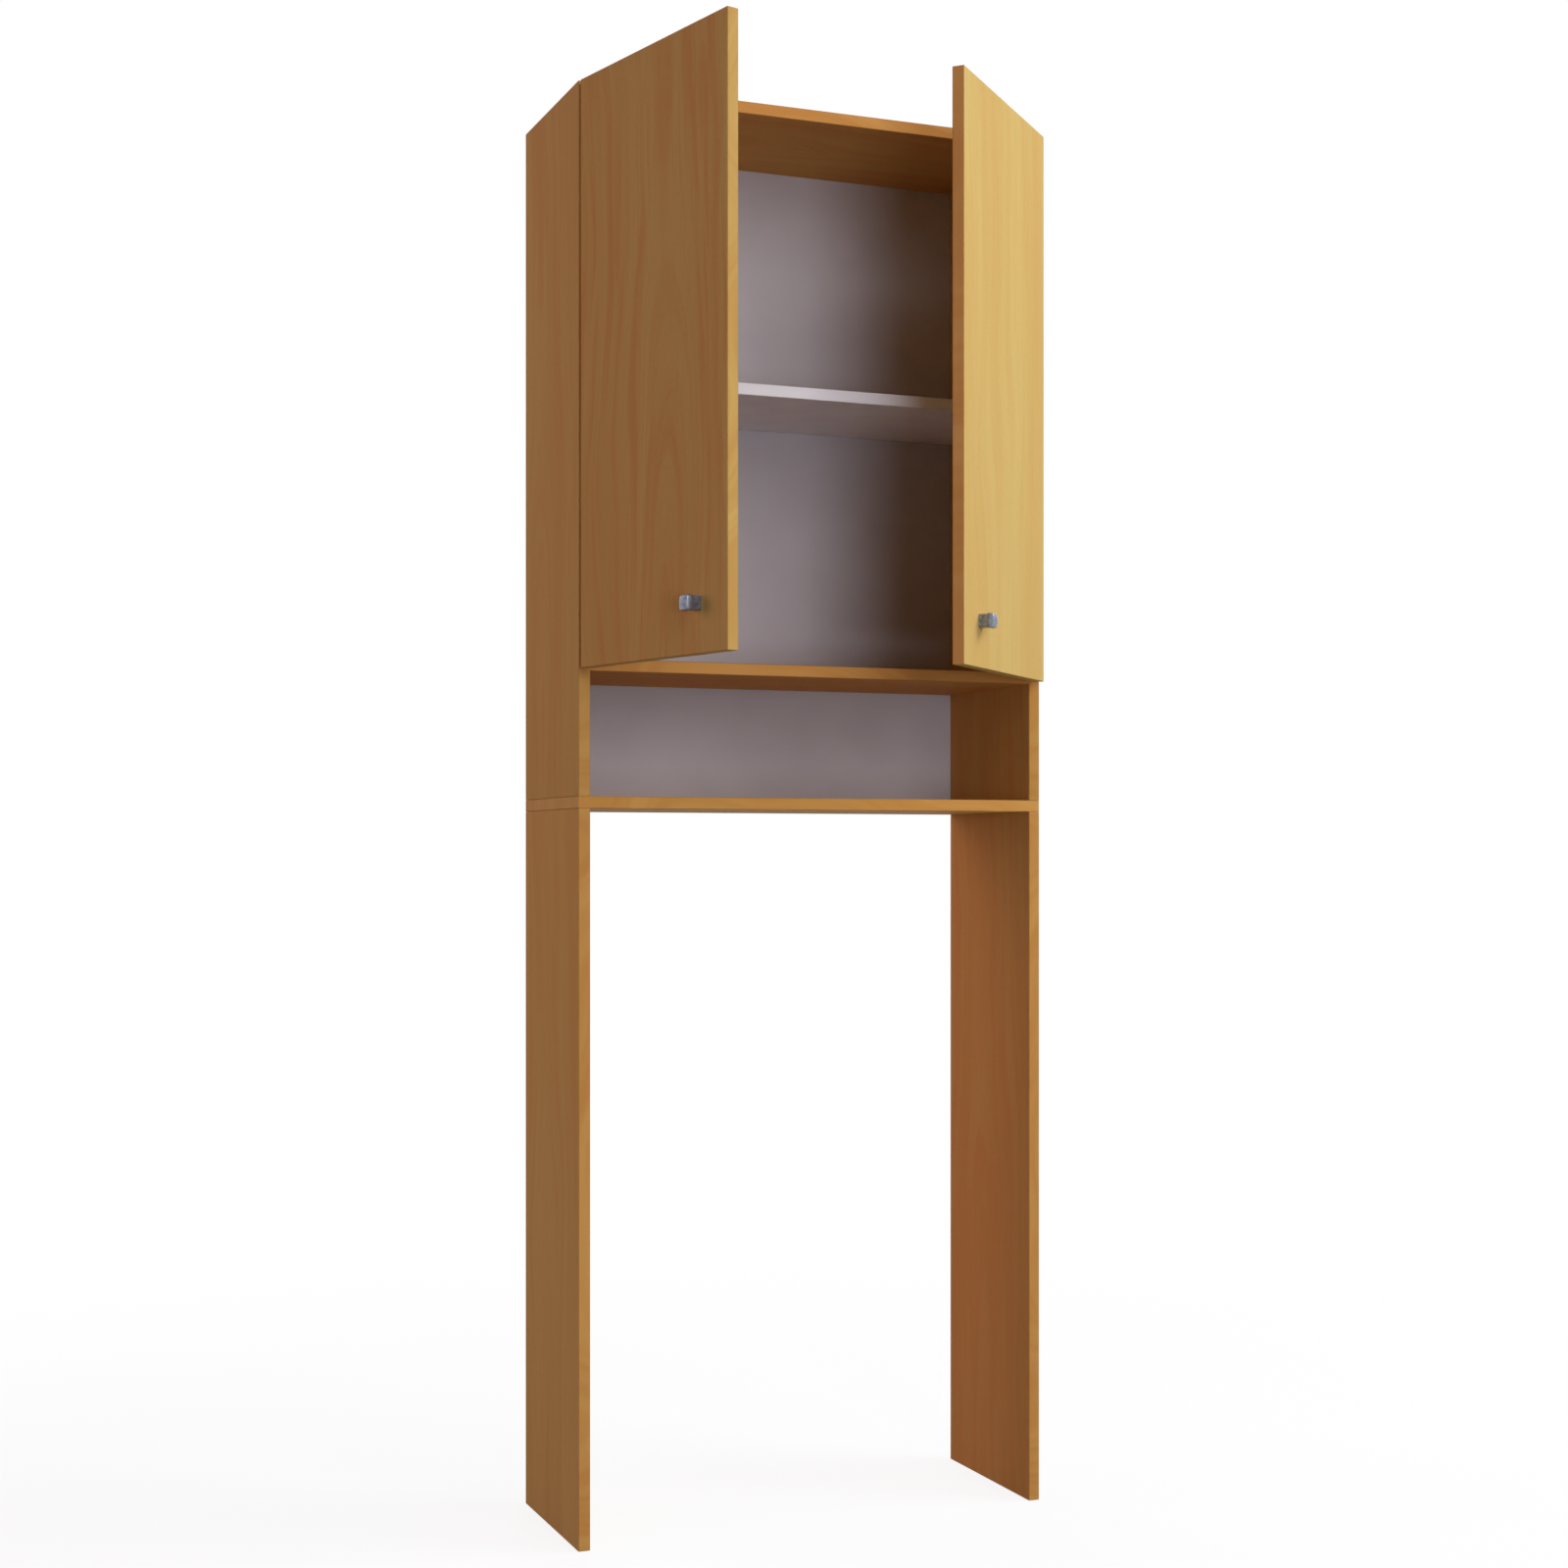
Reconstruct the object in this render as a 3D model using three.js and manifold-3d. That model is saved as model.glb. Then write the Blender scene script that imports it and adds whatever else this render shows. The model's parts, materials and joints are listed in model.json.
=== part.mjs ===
// Tall cabinet of wood-decor board: two leg panels carry a full-width board, and on it stands a
// two-door cupboard over an open compartment. Millimetres, +Z up, the front faces -Y.

import * as THREE from 'three';
import { RoundedBoxGeometry } from 'three/addons/geometries/RoundedBoxGeometry.js';
import { mergeVertices } from 'three/addons/utils/BufferGeometryUtils.js';
import Module from 'manifold-3d';

const wasm = await Module();
wasm.setup();

// Driving sizes of the whole cabinet.
const cabinetWidth = 670;
const cabinetDepth = 250;
const cabinetHeight = 1900;
const boardThickness = 16;
const legHeight = 960;
const openBayHeight = 162;
const arris = 1;
const arrisSteps = 1;

// Clearances and limits shared by all pieces.
const fitGap = 0.3;
const cutOverrun = 4;
const weldDistance = 0.0005;
const fineSteps = 28;
const roundSteps = 16;
const boreSteps = 12;

// How far each door stands open at rest.
const hands = [
  { name: 'left', sign: -1, openDegrees: 75.75 },
  { name: 'right', sign: 1, openDegrees: 44.26 },
];

// Heights and half widths that follow from the driving sizes.
const halfWidth = cabinetWidth / 2;
const innerHalfWidth = halfWidth - boardThickness;
const midBoardTop = legHeight + boardThickness;
const bayFloorUnderside = midBoardTop + openBayHeight;
const bayFloorTop = bayFloorUnderside + boardThickness;
const topBoardUnderside = cabinetHeight - boardThickness;
const midDepth = cabinetDepth / 2;

// Place across the width of a point that lies `inward` of the outer face of one side.
const acrossAt = (sign, inward) => sign * (halfWidth - inward);

// Finishes: the colour, roughness and metalness of each kind of surface.
const finishes = {
  decor: { color: 0xc8934f, roughness: 0.55, metalness: 0 },
  white: { color: 0xe9e8ea, roughness: 0.5, metalness: 0 },
  chrome: { color: 0xb9bcc4, roughness: 0.28, metalness: 1 },
  steel: { color: 0xa9abad, roughness: 0.35, metalness: 1 },
  zinc: { color: 0x9c9da0, roughness: 0.45, metalness: 1 },
  dowelWood: { color: 0xd9bd8d, roughness: 0.8, metalness: 0 },
  clear: { color: 0xe4e6e4, roughness: 0.3, metalness: 0 },
};

function piece(name, geometry, place, finish) {
  const mesh = new THREE.Mesh(geometry, new THREE.MeshStandardMaterial(finishes[finish]));
  mesh.name = name;
  mesh.position.set(...place);
  return mesh;
}

// Joins the vertices that coincide and drops the triangles that have no width.
function weld(geometry) {
  const bare = geometry.clone();
  bare.deleteAttribute('normal');
  bare.deleteAttribute('uv');
  const welded = mergeVertices(bare, weldDistance);
  const corners = [...welded.index.array];
  const kept = [];
  for (let i = 0; i < corners.length; i += 3) {
    const [a, b, c] = corners.slice(i, i + 3);
    const hasWidth = a !== b && b !== c && c !== a;
    if (hasWidth) kept.push(a, b, c);
  }
  welded.setIndex(kept);
  return welded;
}

function toSolid(geometry) {
  const welded = weld(geometry);
  const vertProperties = new Float32Array(welded.attributes.position.array);
  const triVerts = new Uint32Array(welded.index.array);
  return new wasm.Manifold(new wasm.Mesh({ numProp: 3, vertProperties, triVerts }));
}

function toGeometry(solid) {
  const mesh = solid.getMesh();
  const geometry = new THREE.BufferGeometry();
  geometry.setAttribute('position', new THREE.BufferAttribute(mesh.vertProperties, mesh.numProp));
  geometry.setIndex(new THREE.BufferAttribute(mesh.triVerts, 1));
  geometry.computeVertexNormals();
  return geometry;
}

// Joins the bodies into one and takes the tools away from it.
function shaped(bodies, tools) {
  let solid = toSolid(bodies[0]);
  for (const body of bodies.slice(1)) {
    solid = solid.add(toSolid(body));
  }
  for (const tool of tools) {
    solid = solid.subtract(toSolid(tool));
  }
  return toGeometry(solid);
}

// Turns that carry a shape's own Y, or its own Z, onto each axis.
const rodTurns = { x: [0, 0, -Math.PI / 2], y: [0, 0, 0], z: [Math.PI / 2, 0, 0] };
const axisOrders = { x: ['y', 'z', 'x'], y: ['z', 'x', 'y'], z: ['x', 'y', 'z'] };
const unitAxes = {
  x: new THREE.Vector3(1, 0, 0),
  y: new THREE.Vector3(0, 1, 0),
  z: new THREE.Vector3(0, 0, 1),
};

function turned(geometry, axis) {
  const [x, y, z] = rodTurns[axis];
  return geometry.rotateX(x).rotateY(y).rotateZ(z);
}

// A rod along one axis from start to end; u and v place it on the other two axes, in order.
function rod(axis, radius, start, end, u, v, steps = boreSteps) {
  const length = Math.abs(end - start);
  const middle = (start + end) / 2;
  const places = { x: [middle, u, v], y: [u, middle, v], z: [u, v, middle] };
  const geometry = new THREE.CylinderGeometry(radius, radius, length, steps);
  return turned(geometry, axis).translate(...places[axis]);
}

// A turned piece: pairs of radius and distance along the axis, from axis to axis.
function lathe(axis, pairs, steps = roundSteps) {
  const profile = pairs.map(([radius, along]) => new THREE.Vector2(radius, along));
  return turned(new THREE.LatheGeometry(profile, steps), axis);
}

// Corner points of a rectangle with rounded corners, centred, counterclockwise.
function roundedOutline(width, height, radius, steps) {
  const points = [];
  for (let corner = 0; corner < 4; corner += 1) {
    const start = corner * Math.PI / 2;
    const centreX = (width / 2 - radius) * Math.sign(Math.cos(start + Math.PI / 4));
    const centreY = (height / 2 - radius) * Math.sign(Math.sin(start + Math.PI / 4));
    for (let step = 0; step <= steps; step += 1) {
      const angle = start + step / steps * Math.PI / 2;
      const x = centreX + radius * Math.cos(angle);
      const y = centreY + radius * Math.sin(angle);
      points.push(new THREE.Vector2(x, y));
    }
  }
  return points;
}

// Carries an outline along an axis, from start to end.
function extruded(axis, outline, start, end) {
  const shape = new THREE.Shape(outline);
  const options = { depth: end - start, bevelEnabled: false, steps: 1 };
  const geometry = new THREE.ExtrudeGeometry(shape, options).translate(0, 0, start);
  const basis = new THREE.Matrix4().makeBasis(...axisOrders[axis].map((name) => unitAxes[name]));
  return geometry.applyMatrix4(basis);
}

// Mirrors an outline of pairs for one hand and turns it into points.
const handed = (sign, pairs) => pairs.map(([x, y]) => new THREE.Vector2(-sign * x, y));

// Bodies that skin a row of outlines of equal point counts, closed by flat ends.
function loft(rings) {
  const count = rings[0].length;
  const vertices = rings.flat().flatMap((point) => point.toArray());
  const index = [];
  for (let ring = 0; ring + 1 < rings.length; ring += 1) {
    for (let i = 0; i < count; i += 1) {
      const a = ring * count + i;
      const b = ring * count + (i + 1) % count;
      index.push(a, b, b + count, a, b + count, a + count);
    }
  }
  const last = (rings.length - 1) * count;
  for (let i = 1; i + 1 < count; i += 1) {
    index.push(0, i + 1, i, last, last + i, last + i + 1);
  }
  const geometry = new THREE.BufferGeometry();
  geometry.setAttribute('position', new THREE.Float32BufferAttribute(vertices, 3));
  geometry.setIndex(index);
  return geometry;
}

// Boards. A full board is rounded on all its edges; an inset board has square sawn ends.
const away = (place) => place.map((value) => -value);

function fullBoard(size, place, bores) {
  const blank = new RoundedBoxGeometry(...size, arrisSteps, arris);
  return shaped([blank], bores.map((bore) => bore.translate(...away(place))));
}

function insetBoard(width, depth, place, bores) {
  const outline = roundedOutline(depth, boardThickness, arris, 2 * arrisSteps);
  const blank = extruded('x', outline, -width / 2, width / 2);
  return shaped([blank], bores.map((bore) => bore.translate(...away(place))));
}

// Rows of fittings, measured from the front and the rear edges of the boards.
const frontRow = 37;
const rearRow = cabinetDepth - frontRow;

// Housing screws that hold the mid board down on the legs.
const screwHeadRadius = 5;
const screwHeadDepth = 4;
const screwShankRadius = 3.5;
const screwThreadRadius = 2.6;
const screwLength = 50;
const screwTip = 4;
const socketRadius = 2.2;
const socketDepth = 3;
const socketSteps = 6;

function housingScrewProfile(growth) {
  const shankEnd = -boardThickness - growth;
  return [
    [0, -screwLength - growth],
    [screwThreadRadius + growth, -screwLength + screwTip - growth],
    [screwThreadRadius + growth, shankEnd],
    [screwShankRadius + growth, shankEnd],
    [screwShankRadius + growth, -screwHeadDepth - growth],
    [screwHeadRadius + growth, -growth],
    [screwHeadRadius + growth, growth],
    [0, growth],
  ];
}

function housingScrews() {
  const socket = rod('z', socketRadius, -socketDepth, cutOverrun, 0, 0, socketSteps);
  return hands.flatMap(({ name, sign }) => [['front', frontRow], ['rear', rearRow]].map(
    ([row, y]) => piece(
      `${name}_${row}_housing_screw`,
      shaped([lathe('z', housingScrewProfile(0)).translate(0, 0, -fitGap)], [socket]),
      [acrossAt(sign, boardThickness / 2), y, midBoardTop],
      'zinc',
    ),
  ));
}

function housingScrewBore(sign, y) {
  const bore = lathe('z', housingScrewProfile(fitGap));
  return bore.translate(acrossAt(sign, boardThickness / 2), y, midBoardTop);
}

// Wooden dowels: chamfered at both ends.
const dowelRadius = 4;
const dowelChamfer = 0.8;
const dowelInSide = 10;
const dowelInBoard = 19;
const dowelSpacing = 110;
const dowelSkin = 6;

function dowel(axis, start, end) {
  const waist = dowelRadius - dowelChamfer;
  return lathe(axis, [
    [0, start],
    [waist, start],
    [dowelRadius, start + dowelChamfer],
    [dowelRadius, end - dowelChamfer],
    [waist, end],
    [0, end],
  ], boreSteps);
}

// Upright dowels between each upper side and the mid board.
const uprightDowelRows = [['front', midDepth - dowelSpacing / 2], ['rear', midDepth + dowelSpacing / 2]];
const dowelInMidBoard = boardThickness - dowelSkin;

function uprightDowels() {
  const shape = dowel('z', fitGap - dowelInMidBoard, dowelInBoard - fitGap);
  return hands.flatMap(({ name, sign }) => uprightDowelRows.map(([row, y]) => piece(
    `${name}_${row}_side_dowel`,
    shape,
    [acrossAt(sign, boardThickness / 2), y, midBoardTop],
    'dowelWood',
  )));
}

function uprightDowelBore(sign, y) {
  const low = midBoardTop - dowelInMidBoard;
  const high = midBoardTop + dowelInBoard;
  return rod('z', dowelRadius + fitGap, low, high, acrossAt(sign, boardThickness / 2), y);
}

// Cam fittings and dowels at each end of the inset boards, whose cams open on the upper face.
const insetBoards = [
  { name: 'top_board', middle: topBoardUnderside + boardThickness / 2 },
  { name: 'bay_floor', middle: bayFloorUnderside + boardThickness / 2 },
];
const camRow = 60;
const levelDowelRow = cabinetDepth - camRow;
const camReach = 34;
const camRadius = 7.2;
const camSkin = 3.5;
const camSlotLength = 9;
const camSlotWidth = 1.6;
const camSlotDepth = 2;
const boltRadius = 3;
const boltThreadRadius = 2.5;
const boltBite = 11;
const boltHead = 4;
const boltNeck = 3;
const boltNeckRadius = 2;
const camDepth = boardThickness - camSkin;
const boltEnd = camReach + boltHead / 2;

// The hollow runs from the rim that faces the side to just past the middle of the cam.
function camGeometry(sign) {
  const body = rod('z', camRadius, fitGap - camDepth, 0, 0, 0, roundSteps);
  const hollowEnd = -sign * (boltHead / 2 + fitGap);
  const rim = sign * (camRadius + cutOverrun);
  const hollow = rod('x', boltRadius + fitGap, hollowEnd, rim, 0, -boardThickness / 2);
  const slotHeight = 2 * camSlotDepth;
  const slots = [
    new THREE.BoxGeometry(camSlotLength, camSlotWidth, slotHeight),
    new THREE.BoxGeometry(camSlotWidth, camSlotLength, slotHeight),
  ];
  return shaped([body], [hollow, ...slots]);
}

// The bolt is screwed into the side; its head sits in the cam. Distances run inward from the side.
function boltGeometry(sign) {
  const profile = [
    [0, -boltBite],
    [boltThreadRadius, -boltBite],
    [boltThreadRadius, 0],
    [boltRadius, 0],
    [boltRadius, boltEnd - boltHead - boltNeck],
    [boltNeckRadius, boltEnd - boltHead - boltNeck],
    [boltNeckRadius, boltEnd - boltHead],
    [boltRadius, boltEnd - boltHead],
    [boltRadius, boltEnd],
    [0, boltEnd],
  ];
  const bolt = lathe('x', profile, boreSteps);
  return sign < 0 ? bolt : bolt.rotateZ(Math.PI);
}

function camFittings() {
  const dowelShape = dowel('x', fitGap - dowelInSide, dowelInBoard - fitGap);
  return insetBoards.flatMap(({ name: board, middle }) => hands.flatMap(({ name, sign }) => {
    const end = acrossAt(sign, boardThickness);
    const camAcross = acrossAt(sign, boardThickness + camReach);
    const dowelGeometry = sign < 0 ? dowelShape : dowelShape.clone().rotateZ(Math.PI);
    const camPlace = [camAcross, camRow, middle + boardThickness / 2];
    return [
      piece(`${board}_${name}_cam`, camGeometry(sign), camPlace, 'zinc'),
      piece(`${board}_${name}_cam_bolt`, boltGeometry(sign), [end, camRow, middle], 'steel'),
      piece(`${board}_${name}_dowel`, dowelGeometry, [end, levelDowelRow, middle], 'dowelWood'),
    ];
  }));
}

// Bores in an inset board for the cams, the bolts and the dowels of both ends.
function camBores(middle) {
  const face = middle + boardThickness / 2;
  return hands.flatMap(({ sign }) => {
    const outside = acrossAt(sign, boardThickness - cutOverrun);
    const camAcross = acrossAt(sign, boardThickness + camReach);
    const dowelEnd = acrossAt(sign, boardThickness + dowelInBoard);
    return [
      rod('z', camRadius + fitGap, face - camDepth, face + cutOverrun, camAcross, camRow, roundSteps),
      rod('x', boltRadius + fitGap, outside, camAcross, camRow, middle),
      rod('x', dowelRadius + fitGap, outside, dowelEnd, levelDowelRow, middle),
    ];
  });
}

// Bores in a side panel for the bolts and the dowels of the inset boards.
function sideBoresForInsetBoards(sign) {
  const inside = acrossAt(sign, boardThickness + cutOverrun);
  const boltDeep = acrossAt(sign, boardThickness - boltBite - fitGap);
  const dowelDeep = acrossAt(sign, boardThickness - dowelInSide);
  return insetBoards.flatMap(({ middle }) => [
    rod('x', boltThreadRadius + fitGap, boltDeep, inside, camRow, middle),
    rod('x', dowelRadius + fitGap, dowelDeep, inside, levelDowelRow, middle),
  ]);
}

// Adjustable shelf on four spoon pins, in rows of holes at the system spacing.
const shelfEndGap = 1;
const shelfSetback = 1.5;
const shelfRearGap = 1;
const pinHoleSpacing = 32;
const pinHolesEachWay = 1;
const pinRadius = 2.5;
const pinLength = 8;
const spoonWidth = 10;
const spoonReach = 11;
const spoonThickness = 1.6;
const spoonDrop = 9;
const pinDrop = 5;
const shelfMiddle = (bayFloorTop + topBoardUnderside) / 2;
const shelfUnderside = shelfMiddle - boardThickness / 2;
const pinHeight = shelfUnderside - pinDrop;
const pinRows = [['front', frontRow], ['rear', rearRow]];

function spoonPinGeometry(sign) {
  const tongue = new THREE.BoxGeometry(spoonReach, spoonWidth, spoonThickness);
  tongue.translate(-sign * spoonReach / 2, 0, -spoonThickness / 2);
  const plate = new THREE.BoxGeometry(spoonThickness, spoonWidth, spoonDrop);
  plate.translate(-sign * spoonThickness / 2, 0, -spoonDrop / 2);
  const pin = rod('x', pinRadius, sign * pinLength, -sign * spoonThickness / 2, 0, -pinDrop);
  return shaped([tongue, plate, pin], []);
}

function shelfPins() {
  return hands.flatMap(({ name, sign }) => pinRows.map(([row, y]) => piece(
    `${name}_${row}_shelf_pin`,
    spoonPinGeometry(sign),
    [acrossAt(sign, boardThickness), y, shelfUnderside],
    'steel',
  )));
}

function pinBores(sign) {
  const inside = acrossAt(sign, boardThickness + cutOverrun);
  const deep = acrossAt(sign, boardThickness - pinLength - fitGap);
  const bores = [];
  for (const [, y] of pinRows) {
    for (let step = -pinHolesEachWay; step <= pinHolesEachWay; step += 1) {
      const z = pinHeight + step * pinHoleSpacing;
      bores.push(rod('x', pinRadius + fitGap, deep, inside, y, z));
    }
  }
  return bores;
}

function shelf() {
  const width = 2 * (innerHalfWidth - shelfEndGap);
  const depth = cabinetDepth - shelfSetback - shelfRearGap;
  const place = [0, shelfSetback + depth / 2, shelfMiddle];
  return piece('adjustable_shelf', insetBoard(width, depth, place, []), place, 'white');
}

// Back panel nailed on behind the sides, a little smaller than the cupboard all round.
const backThickness = 3;
const backInset = 2;

function backPanel() {
  const width = cabinetWidth - 2 * backInset;
  const height = cabinetHeight - legHeight - 2 * backInset;
  const place = [0, cabinetDepth + backThickness / 2, cabinetHeight - backInset - height / 2];
  return piece('back_panel', new THREE.BoxGeometry(width, backThickness, height), place, 'white');
}

// Wall brackets: angles screwed to the top board, with one flange flat against the wall.
const bracketWidth = 24;
const bracketLeg = 22;
const bracketThickness = 2;
const bracketInward = 120;
const bracketHoleRadius = 2.6;
const bracketHoleOffset = 13;

function bracketGeometry() {
  const outline = [
    [0, 0],
    [0, bracketLeg],
    [-bracketThickness, bracketLeg],
    [-bracketThickness, bracketThickness],
    [-bracketLeg, bracketThickness],
    [-bracketLeg, 0],
  ].map(([y, z]) => new THREE.Vector2(y, z));
  const angle = extruded('x', outline, -bracketWidth / 2, bracketWidth / 2);
  const holes = [
    rod('z', bracketHoleRadius, -cutOverrun, bracketThickness + cutOverrun, 0, -bracketHoleOffset),
    rod('y', bracketHoleRadius, -bracketThickness - cutOverrun, cutOverrun, 0, bracketHoleOffset),
  ];
  return shaped([angle], holes);
}

function wallBrackets() {
  return hands.map(({ name, sign }) => piece(
    `${name}_wall_bracket`,
    bracketGeometry(),
    [acrossAt(sign, bracketInward), cabinetDepth + backThickness, cabinetHeight],
    'zinc',
  ));
}

// Doors: overlay panels that hang on two concealed hinges each.
const doorReveal = 2;
const doorMiddleGap = 3;
const doorTopReveal = 1;
const doorOverlay = 13;
const doorWidth = (cabinetWidth - 2 * doorReveal - doorMiddleGap) / 2;
const doorTop = cabinetHeight - doorTopReveal;
const doorBottom = bayFloorTop - doorOverlay;
const doorHeight = doorTop - doorBottom;
const doorMiddle = (doorTop + doorBottom) / 2;

// Hinge cup, sunk in the door, with a flange on the door's inner face.
const cupRadius = 17.5;
const cupWall = 1;
const cupRim = 1;
const cupSkin = 3.5;
const cupEdgeDistance = 3;
const flangeThickness = 1;
const earOffset = 9.5;
const earWidth = 14;
const earSpacing = 48;
const earHoleRadius = 2.2;
const earSteps = 3;
const cupDepth = boardThickness - cupSkin;
const cavityRadius = cupRadius - cupWall;
const cavityDepth = cupDepth - cupWall;
const cupFromEdge = cupEdgeDistance + cupRadius;

// Hinge pin and knuckle. The pin runs through the cup's walls at the door's edge side.
const hingePinRadius = 1.25;
const knuckleRadius = 2.5;
const knuckleClearance = 0.5;
const armHalfWidth = 5.5;
const axisFromEdge = 8;
const axisDepth = cavityDepth - knuckleRadius - knuckleClearance;
const cupFromAxis = cupFromEdge - axisFromEdge;
const pinHalfLength = Math.sqrt(cupRadius ** 2 - (cupFromAxis + hingePinRadius) ** 2);

// The door stands off the carcass just far enough for its edge and the flange to swing past.
const swingClearance = 0.5;
const flangeHeight = fitGap + flangeThickness;
const edgeReach = Math.hypot(axisFromEdge - arris, axisDepth - arris) + arris;
const flangeSpan = axisFromEdge - cupEdgeDistance + cupRim;
const flangeReach = Math.hypot(flangeSpan, axisDepth + flangeHeight);
const doorGap = Math.max(edgeReach, flangeReach) + swingClearance - axisDepth;
const axisInward = doorReveal + axisFromEdge;
const axisForward = -(doorGap + axisDepth);

// Hinge arm: it runs inward from the pin, bends, and runs back into the carcass.
const armThickness = 2;
const armBend = 2;
const armBendSteps = 4;
const armClearance = 0.9;
const armReach = 58;
const armHoleRadius = 2.4;
const armOffset = axisDepth + flangeHeight + armClearance;
const armScrewRows = [30, 48];

// Mounting plate between the side panel and the arm: a block with two ears.
const plateStart = 20;
const plateLength = 40;
const plateBlockHeight = 12;
const plateEarLength = 16;
const plateEarHeight = 48;
const plateEarThickness = 2.2;
const plateCorner = 3;
const plateCornerSteps = 2;
const plateScrewSpacing = 32;
const plateHoleRadius = 2.6;
const plateThickness = axisInward + armOffset - boardThickness;
const plateMiddle = plateStart + plateLength / 2;

const hingeFromDoorEnd = 100;
const hingeRows = [['upper', doorTop - hingeFromDoorEnd], ['lower', doorBottom + hingeFromDoorEnd]];

function armGeometry(sign) {
  const bendCentre = [armOffset, armThickness / 2];
  const bend = [];
  for (let step = 0; step <= armBendSteps; step += 1) {
    const angle = (step / armBendSteps - 1) * Math.PI / 2;
    const x = bendCentre[0] + armBend * Math.cos(angle);
    const y = bendCentre[1] + armBend * Math.sin(angle);
    bend.push([x, y]);
  }
  const end = armReach - axisForward;
  const outline = handed(sign, [
    [0, -armThickness / 2],
    ...bend,
    [armOffset + armThickness, end],
    [armOffset, end],
    [armOffset, armThickness / 2],
    [0, armThickness / 2],
  ]);
  const strap = extruded('z', outline, -armHalfWidth, armHalfWidth);
  const knuckle = rod('z', knuckleRadius, -armHalfWidth, armHalfWidth, 0, 0, roundSteps);
  const pinBore = rod('z', hingePinRadius + fitGap, -pinHalfLength, pinHalfLength, 0, 0);
  const across = [-sign * (armOffset - cutOverrun), -sign * (armOffset + armThickness + cutOverrun)];
  const screwHoles = armScrewRows.map(
    (y) => rod('x', armHoleRadius, ...across, y - axisForward, 0),
  );
  return shaped([strap, knuckle], [pinBore, ...screwHoles]);
}

// The block is set along the arm; the ears lie flat on the side panel.
function plateGeometry(sign) {
  const bar = (length, height, thickness) => {
    const outline = roundedOutline(length, height, plateCorner, plateCornerSteps);
    const face = -sign * thickness;
    return extruded('x', outline, Math.min(0, face), Math.max(0, face));
  };
  const block = bar(plateLength, plateBlockHeight, plateThickness);
  const ears = bar(plateEarLength, plateEarHeight, plateEarThickness);
  const through = [sign * cutOverrun, -sign * (plateThickness + cutOverrun)];
  const earHoles = [-plateScrewSpacing / 2, plateScrewSpacing / 2].map(
    (z) => rod('x', plateHoleRadius, ...through, 0, z),
  );
  const armHoles = armScrewRows.map(
    (y) => rod('x', armHoleRadius, ...through, y - plateMiddle, 0),
  );
  return shaped([block, ears], [...earHoles, ...armHoles]);
}

function cupGeometry(sign) {
  const bowl = lathe('y', [
    [0, -cupDepth],
    [cupRadius, -cupDepth],
    [cupRadius, fitGap],
    [cupRadius + cupRim, fitGap],
    [cupRadius + cupRim, flangeHeight],
    [0, flangeHeight],
  ], fineSteps);
  const outline = roundedOutline(earSpacing + earWidth, earWidth, earWidth / 2, earSteps);
  const ears = extruded('y', outline, fitGap, flangeHeight).translate(-sign * earOffset, 0, 0);
  const above = flangeHeight + cutOverrun;
  const cavity = rod('y', cavityRadius, -cavityDepth, above, 0, 0, fineSteps);
  const pinAcross = sign * cupFromAxis;
  const pinBore = rod('z', hingePinRadius + fitGap, -cupRadius, cupRadius, pinAcross, -axisDepth);
  const earHoles = [-earSpacing / 2, earSpacing / 2].map(
    (z) => rod('y', earHoleRadius, 0, above, -sign * earOffset, z),
  );
  return shaped([bowl, ears], [cavity, pinBore, ...earHoles]);
}

function fixedHingePieces() {
  return hands.flatMap(({ name, sign }) => hingeRows.flatMap(([row, z]) => {
    const axisPlace = [acrossAt(sign, axisInward), axisForward, z];
    const platePlace = [acrossAt(sign, boardThickness), plateMiddle, z];
    return [
      piece(`${name}_${row}_hinge_arm`, armGeometry(sign), axisPlace, 'steel'),
      piece(`${name}_${row}_hinge_plate`, plateGeometry(sign), platePlace, 'steel'),
    ];
  }));
}

// Knob: a square block with a drawn-in stem, a wider tapered head and a domed front.
const knobSize = 19.4;
const knobProjection = 22;
const knobCorner = 1.9;
const knobCornerSteps = 3;
const knobSideSteps = 4;
const knobDomeRadius = 27;
const knobInset = 63;
const knobRise = 60;
const knobScrewBite = 9;
const knobScrewRadius = 2;
const knobScrewHeadRadius = 4.2;
const knobScrewHeadHeight = 2.2;
const knobStationShares = [
  [0, 0.905],
  [0.1, 0.88],
  [0.28, 0.87],
  [0.48, 0.87],
  [0.57, 0.92],
  [0.64, 1],
];
const knobDomeShares = [0.93, 0.82, 0.64, 0.4, 0.1];
const knobFromEdge = doorWidth - knobInset;
const knobHeight = doorBottom + knobRise;
const doorFace = axisDepth - boardThickness;

// Place across a door of a point that lies `fromEdge` from its hinge edge, from the hinge axis.
const doorAcross = (sign, fromEdge) => -sign * (fromEdge - axisFromEdge);

// The knob's section at a share of its full size, with points along its flat sides.
function knobOutline(share) {
  const size = knobSize * share;
  const outline = roundedOutline(size, size, knobCorner * share, knobCornerSteps);
  return outline.flatMap((point, i) => {
    const next = outline[(i + 1) % outline.length];
    const pieces = (i + 1) % (knobCornerSteps + 1) === 0 ? knobSideSteps : 1;
    return Array.from({ length: pieces }, (_, step) => point.clone().lerp(next, step / pieces));
  });
}

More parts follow.
